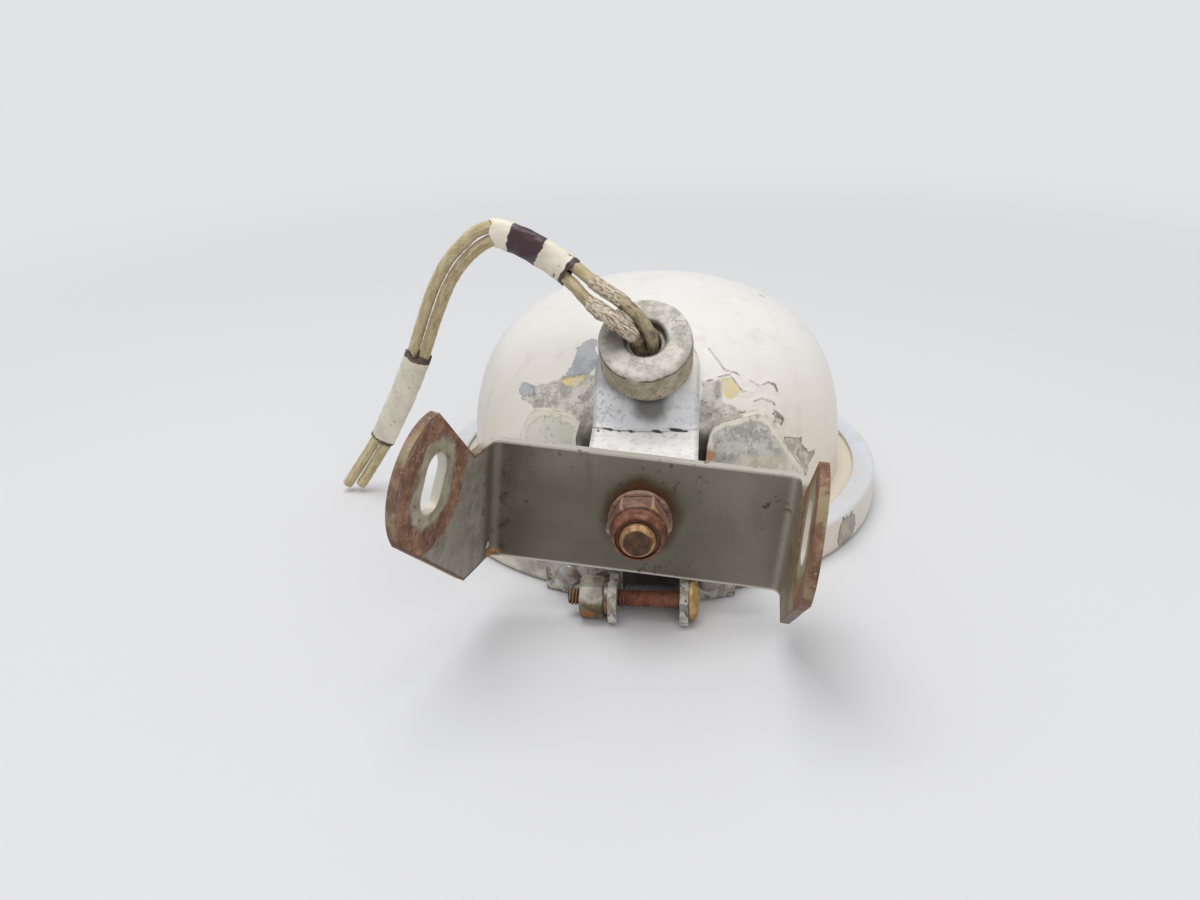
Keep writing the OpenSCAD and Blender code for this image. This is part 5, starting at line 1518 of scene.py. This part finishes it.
def stop_nut_finish():
    """Brown rust on the hexagon, redder on the collar, with painted highlights on the corners and painted
    shade in the crevices. 'out' is the distance from the yoke's face: the hexagon ends at 6.5 mm, the
    collar at 9.7 mm. 'corner' is the angle from the nearest corner."""
    f = Finish("rusty_nut")
    out = f.times(f.minus((LAMP_Y + PIVOT[1]) / 1000, f.axis("Y")), 1000.0)
    hexagon = f.below(out, 6.1, 6.7)
    plain = f.tones(f.noise(1.6, 5, 0.66), 0.36, 0.64, (152, 120, 106), (116, 84, 70))
    redder = f.tones(f.noise(1.4, 5, 0.66), 0.38, 0.62, (142, 96, 72), (98, 60, 44))
    f.tone = f.mix(hexagon, redder, plain)
    angle = f.math("ARCTAN2", f.minus(f.axis("Z"), PIVOT[2] / 1000), f.axis("X"))
    turned = f.plus(f.times(angle, 180 / math.pi), 360 - CORNER_FIRST)
    corner = f.math("PINGPONG", turned, CORNER_STEP / 2)
    # Painted highlight on the hexagon's corners.
    pale = f.times(f.below(corner, 1.0, 5.0, 0.7), hexagon)
    f.lay(pale, (184, 154, 138))
    gold = f.times(f.band(f.noise(1.8, 4), 0.58, 0.66),
                   f.below(f.math("ABSOLUTE", f.minus(out, 6.9)), 0.6, 1.4, 0.9))
    f.lay(gold, (200, 140, 66))
    # Painted shade in the crevices: the seam between hexagon and collar, the gap at the washer, and round
    # the bolt in the collar.
    seam = f.below(f.math("ABSOLUTE", f.minus(out, 6.45)), 0.05, 0.3, 0.6)
    foot = f.below(f.ragged(out, 0.5, 1.5, 3), 1.9, 2.5, 0.9)
    mouth = f.times(f.below(f.front_away(0, PIVOT[2]), 4.8, 5.2, 0.9), f.band(out, 7.0, 7.4))
    dark = f.math("MAXIMUM", seam, f.math("MAXIMUM", foot, mouth))
    f.lay(dark, (48, 30, 22))
    pits = f.below(f.cells(1.0), 0.05, 0.18, 0.6)
    f.lay(f.times(pits, f.band(f.noise(3), 0.45, 0.6)), (60, 38, 30))
    return f.done(f.tone, f.band(f.noise(1.5), 0.3, 0.7, 0.5, 0.75), f.bump(f.noise(0.7, 5), 0.08, 0.8),
                  0.25)


wear(merged_copy("pivot_stop_nut", "stop_nut", "yoke", 0.16), stop_nut_finish())
wear(merged_copy("pivot_washer", "pivot_washer_worn", "yoke", 0.15),
     rust_finish("rusty_washer", 0.8, (120, 88, 70), (168, 136, 116), (176, 150, 128), (120, 92, 74),
                 1.4))
wear(merged_copy("stop_nut_insert", "locking_ring", "yoke", 0.12),
     rust_finish("locking_ring", 0.5, (82, 52, 38), (112, 70, 48), (92, 58, 42), (74, 48, 36), 1.2,
                 0.0))


def bolt_finish():
    """A tan ring round the bolt's end and a dark brown middle, where rust sits in the hollow; behind its
    last millimetre the bolt is darker with painted shade inside the nut.
    """
    f = Finish("rusty_bolt")
    f.tone = f.tones(f.noise(1.5, 5, 0.62), 0.38, 0.62, (190, 154, 112), (140, 100, 66))
    out = f.ragged(f.front_away(0, PIVOT[2]), 0.7, 1.4, 4)
    brown = f.tones(f.noise(1.1, 5, 0.6), 0.42, 0.64, (54, 40, 26), (98, 60, 36))
    f.lay(f.below(out, 3.3, 3.7, 0.95), brown)
    # Painted shade on the bolt where it goes into the nut.
    deep = f.below(f.axis("Y"), (LAMP_Y - 79.4) / 1000, (LAMP_Y - 80.4) / 1000, 0.8)
    f.lay(deep, (84, 56, 38))
    return f.done(f.tone, f.band(f.noise(1.2), 0.3, 0.7, 0.45, 0.7), f.bump(f.noise(0.8, 5), 0.09, 0.8),
                  0.35)


wear(merged_copy("pivot_bolt", "pivot_bolt_worn", "housing", 0.18), bolt_finish())

# %% [markdown]
# The clamp screw's thread shows between the tabs. A thread is one ridge that climbs by its pitch in
# a turn, so the radius is a triangle wave of (distance / pitch - angle / full turn). The solid's
# own shank is drawn in below the thread's root, and the head keeps its shape.

# %% The clamp's screw, nut and tabs
SCREW = np.array([0.0, -70.0, 5.2])
HEAD_FACE, TIP, PITCH = 11.05, -17.25, 0.794
SHANK_R, ROOT, RIDGE, TAPER = 2.15, 1.66, 0.42, 0.7
NUT_SPOT = (-12.5, -73.5, 3.4)


def screw_thread():
    """Rows every 0.08 mm along the screw, 36 columns round it: the root's radius plus the ridge times
    a clipped triangle wave, less what the tip's taper takes away."""
    x = np.arange(TIP + 0.02, HEAD_FACE + 0.3, 0.08)[:, None]
    a = np.linspace(0, 2 * math.pi, 36, endpoint=False)[None, :]
    wave = np.abs(((x / PITCH - a / (2 * math.pi)) % 1.0) * 2 - 1)
    radius = ROOT + RIDGE * np.clip(wave * 1.3 - 0.15, 0, 1) - 0.6 * np.clip(1 - (x - TIP) / TAPER, 0, 1)
    grid = np.stack([x + 0 * a, SCREW[1] + radius * np.sin(a), SCREW[2] + radius * np.cos(a)], -1)
    ridge = np.append(((radius - ROOT) / RIDGE).ravel(), [0, 0])
    return make_piece("clamp_screw_thread", closed_tube(grid), tube_faces(*radius.shape), "screw",
                      replaces=["clamp_screw"], marks={"ridge": ridge}, sharp=80)


def draw_in_shank(obj):
    """The solid's plain shank made slimmer than the thread's root and a millimetre shorter."""
    spots = np.empty(len(obj.data.vertices) * 3)
    obj.data.vertices.foreach_get("co", spots)
    spots = spots.reshape(-1, 3)
    middle = in_frame(SCREW)[1:]
    away = np.hypot(*(spots[:, 1:] - middle).T)
    shank = (away < SHANK_R / 1000) & (spots[:, 0] < (HEAD_FACE - 0.01) / 1000)
    spots[shank, 1:] = middle + (spots[shank, 1:] - middle) * 0.7
    spots[shank, 0] = np.maximum(spots[shank, 0], (TIP + 1.0) / 1000)
    obj.data.vertices.foreach_set("co", spots.ravel())
    return obj


def screw_finish(name, ridge):
    """Brassy plating on the head, tan at the tip, and dark red-brown rust between the tabs; on the thread,
    painted shade in the roots and a painted highlight on the crests.
    """
    f = Finish(name)
    x = f.axis("X")
    rust = f.tones(f.noise(1.6, 5, 0.62), 0.38, 0.62, (92, 54, 42), (132, 82, 60))
    gold = f.tones(f.noise(2.0, 5, 0.6), 0.36, 0.62, (200, 170, 118), (166, 132, 84))
    gold = f.mix(f.below(f.axis("Z"), 0.0015, 0.005, 0.7), gold, (122, 84, 56))
    tan = f.tones(f.noise(1.4, 4), 0.4, 0.6, (178, 150, 112), (132, 94, 68))
    f.tone = f.mix(f.band(x, 0.0108, 0.0116), rust, gold)
    f.lay(f.below(x, -0.0135, -0.0125), tan)
    if ridge:
        # Painted shade in the thread's roots and a painted highlight on its crests.
        f.lay(f.below(f.mark("ridge"), 0.1, 0.6, 0.92), (30, 18, 15))
        f.lay(f.band(f.mark("ridge"), 0.7, 1.0, 0.0, 0.4), (170, 110, 80))
    plated = f.band(x, 0.0108, 0.0116, 0.25, 0.6)
    return f.done(f.tone, f.band(f.noise(1.2), 0.3, 0.7, 0.42, 0.66),
                  f.bump(f.noise(0.7, 5), 0.07, 0.8), plated)


def clamp_nut_finish():
    """Grey-white zinc on top, tan and orange rust on the lower faces."""
    f = Finish("clamp_nut_zinc")
    zinc = f.tones(f.noise(2.4, 5, 0.62), 0.38, 0.62, (190, 185, 174), (142, 136, 122))
    low = f.tones(f.noise(1.8, 5, 0.62), 0.36, 0.6, (138, 126, 96), (88, 78, 58))
    level = f.plus(f.axis("Z"), f.swing(0.002, 2.5, 4))
    f.tone = f.mix(f.band(level, 0.0058, 0.0068), low, zinc)
    spot = f.ragged(f.away(NUT_SPOT), 2.4, 1.4, 4)
    f.lay(f.below(spot, 2.2, 3.8, 0.9), (158, 104, 56))
    pits = f.times(f.below(f.cells(1.1), 0.08, 0.2), f.band(f.noise(3), 0.48, 0.6))
    f.lay(f.times(pits, 0.6), (72, 60, 48))
    return f.done(f.tone, f.band(f.noise(1.5), 0.3, 0.7, 0.4, 0.62),
                  f.bump(f.minus(f.noise(0.9, 5), pits), 0.09, 0.8), 0.35)


wear(merged_copy("clamp_nut", "clamp_nut_worn", "nut", 0.15), clamp_nut_finish())
screw_solid = draw_in_shank(merged_copy("clamp_screw", "clamp_screw_worn", "screw", 0.1))
wear(screw_solid, screw_finish("clamp_screw_rust", False))
wear(screw_thread(), screw_finish("clamp_thread_rust", True))
wear(merged_copy("clamp_lock_washer", "lock_washer_worn", "housing", 0.08),
     rust_finish("lock_washer", 0.4, (112, 82, 62), (150, 116, 88), (156, 150, 142), (118, 112, 104),
                 1.2, 0.8))


# %% Tabs and rivets
def tab_finish():
    """Soiled white paint, chipped to dark steel in many places, with rust showing through."""
    f = Finish("chipped_white_paint", Coat_Weight=0.1, Coat_Roughness=0.3)
    f.tone = f.tones(f.noise(3, 4), 0.35, 0.65, (208, 204, 194), (176, 171, 160))
    f.lay(f.band(f.noise(1.8, 5, 0.68), 0.46, 0.64, 0.0, 0.8), (124, 112, 88))
    chip = f.minus(f.band(f.noise(2.2, 5, 0.6), 0.42, 0.76, -1.0, 2.0), 0.1)
    steel = f.tones(f.noise(1), 0.4, 0.6, (104, 98, 92), (138, 132, 124))
    paint, _ = flaked(f, chip, steel, 0.4, 1.2, 0.15)
    f.lay(f.times(f.band(f.noise(2.2, 5, 0.6), 0.62, 0.72), 0.7), (140, 86, 50))
    return f.done(f.tone, 0.5, f.bump(f.ragged(paint, 0.5, 1, 4), 0.12, 0.8))


tab_paint = tab_finish()
for node in ("clamp_tab_left", "clamp_tab_right"):
    wear(merged_copy(node, node + "_worn", "housing", 0.3), tab_paint)
rivet_metal = rust_finish("rivet_metal", 0.25, (110, 78, 60), (140, 110, 90), (188, 186, 182),
                          (150, 148, 144), 1.4, 0.6)
for node in ("tab_rivets", "saddle_rivets", "strap_rivets"):
    wear(merged_copy(node, node + "_worn", "housing", 0.1), rivet_metal)

# %% [markdown]
# The sealed lamp shows when the light is turned over: a pressed glass lens, a silvered mirror, the
# filament and the gasket. These solids keep their shapes and get their own glass and metal.

# %% Lamp finishes
def glass_finish():
    """Clear glass with a slightly wavy face."""
    f = Finish("lens_glass", Roughness=0.06, IOR=1.5, Transmission_Weight=1.0)
    return f.done(tint(236, 240, 238), normal=f.bump(f.noise(9, 2), 0.12, 0.35))


def mirror_finish():
    """Silvered glass, a little cloudy."""
    f = Finish("mirror_glass", Metallic=1.0)
    cloudy = f.band(f.noise(8, 4), 0.4, 0.7)
    tone = f.mix(cloudy, (224, 226, 228), (200, 202, 206))
    return f.done(tone, f.band(cloudy, 0, 1, 0.08, 0.2), f.bump(f.noise(4), 0.05, 0.3))


def gasket_finish():
    """Old black rubber."""
    f = Finish("gasket_rubber")
    tone = f.tones(f.noise(3, 4), 0.4, 0.6, (58, 56, 54), (82, 78, 74))
    return f.done(tone, 0.7, f.bump(f.noise(0.8, 4), 0.08, 0.6))


def lead_finish():
    """The inner leads' cotton: pale threads about a millimetre wide with dark gaps."""
    f = Finish("inner_lead_braid")
    weave = f.cells(0.9)
    tone = f.tones(weave, 0.1, 0.5, (120, 104, 80), (184, 168, 136))
    return f.done(tone, 0.7, f.bump(weave, 0.08, 0.7))


wolfram = rust_finish("filament_metal", 0.1, (90, 84, 78), (120, 112, 104), (150, 148, 146),
                      (120, 118, 116), 0.8, 0.9)
brass = rust_finish("terminal_brass", 0.2, (120, 84, 40), (150, 112, 60), (196, 160, 92),
                    (160, 124, 70), 1.5, 0.9)
steel = rust_finish("terminal_metal", 0.15, (112, 100, 88), (140, 128, 112), (178, 176, 172),
                    (150, 148, 144), 1.5, 0.85)
for node, finish in (("lamp_lens", glass_finish()), ("lamp_reflector", mirror_finish()),
                     ("rim_gasket", gasket_finish()), ("lamp_filament", wolfram), ("lead_lugs", brass),
                     ("terminal_screws", brass), ("lamp_terminals", steel), ("inner_leads", lead_finish())):
    wear(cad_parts[node], finish)

# %% [markdown]
# The light stands on a plain pale floor. Two large soft lamps and a white world light it at a level
# where a colour renders about as it is written. The world has the floor's pale grey to the camera,
# to mirror-like reflections and through glass, and is dimmer to everything else, so the floor keeps
# the object's shadow. Far from the object the lamps fade, so there the floor turns into its own
# colour as an even light, which only the camera and mirror-like reflections see.

# %% Floor
FLOOR_HALF = 12.0
PALE = (226, 227, 229)


def floor_finish():
    """Pale paper that becomes an even light between 180 and 520 mm from the lamp's axis."""
    f = Finish("floor_paper", Roughness=0.85)
    f.done(tint(222, 222, 224), normal=f.bump(f.noise(2.5, 3), 0.05, 0.4))
    camera_ray, glossy_ray = (f.add("ShaderNodeLightPath", {}, {}, output=f"Is {kind} Ray")
                              for kind in ("Camera", "Glossy"))
    lit = f.times(f.band(f.away((0, 0, 0)), 180, 520), f.math("MAXIMUM", camera_ray, glossy_ray))
    plain_light = f.add("ShaderNodeEmission", {}, {"Color": tint(*PALE), "Strength": 1.0})
    shaders = {0: lit, 1: f.shader.outputs[0], 2: plain_light}
    f.links.new(f.add("ShaderNodeMixShader", {}, shaders), f.surface)
    return f.material


floor_mesh = bpy.data.meshes.new("floor")
corners = [(x * FLOOR_HALF, y * FLOOR_HALF, 0) for x, y in ((-1, -1), (1, -1), (1, 1), (-1, 1))]
floor_mesh.from_pydata(corners, [], [(0, 1, 2, 3)])
floor = bpy.data.objects.new("floor", floor_mesh)
bpy.context.scene.collection.objects.link(floor)
wear(floor, floor_finish())

# %% World and lamps
DAYLIGHT, DAYLIGHT_STRENGTH = (0.97, 0.98, 1.0, 1), 0.56
MIDDLE = (0, 0, 0.03)
world = bpy.data.worlds.new("studio")
bpy.context.scene.world = world
world.use_nodes = True
tree = world.node_tree
tree.nodes.clear()


def larger(a, b):
    """The larger of two of the world's values."""
    node = tree.nodes.new("ShaderNodeMath")
    node.operation = "MAXIMUM"
    tree.links.new(a, node.inputs[0])
    tree.links.new(b, node.inputs[1])
    return node.outputs[0]


def background(colour, strength):
    """One even light of the world."""
    node = tree.nodes.new("ShaderNodeBackground")
    node.inputs["Color"].default_value = colour
    node.inputs["Strength"].default_value = strength
    return node.outputs[0]


rays = tree.nodes.new("ShaderNodeLightPath").outputs
seen = larger(larger(rays["Is Camera Ray"], rays["Is Glossy Ray"]), rays["Is Transmission Ray"])
blend, out = tree.nodes.new("ShaderNodeMixShader"), tree.nodes.new("ShaderNodeOutputWorld")
tree.links.new(seen, blend.inputs[0])
tree.links.new(background(DAYLIGHT, DAYLIGHT_STRENGTH), blend.inputs[1])
tree.links.new(background(tint(*PALE), 1.0), blend.inputs[2])
tree.links.new(blend.outputs[0], out.inputs["Surface"])


def soft_lamp(name, place, target, size, power):
    """A square lamp of the given side in metres that faces a point."""
    data = bpy.data.lights.new(name, "AREA")
    data.shape, data.size, data.energy = "SQUARE", size, power
    lamp = bpy.data.objects.new(name, data)
    lamp.location = place
    lamp.rotation_euler = (Vector(target) - Vector(place)).to_track_quat("-Z", "Y").to_euler()
    bpy.context.scene.collection.objects.link(lamp)


soft_lamp("overhead", (-0.1, -0.05, 0.9), MIDDLE, 0.6, 4.3)
soft_lamp("from_front", (0.35, -0.75, 0.6), MIDDLE, 0.5, 1.2)

# %% View settings and the end
bpy.context.scene.view_settings.view_transform = "Standard"
bpy.context.view_layer.update()


def plain(box):
    """A box as plain lists of numbers."""
    return [[float(v) for v in corner] for corner in box]
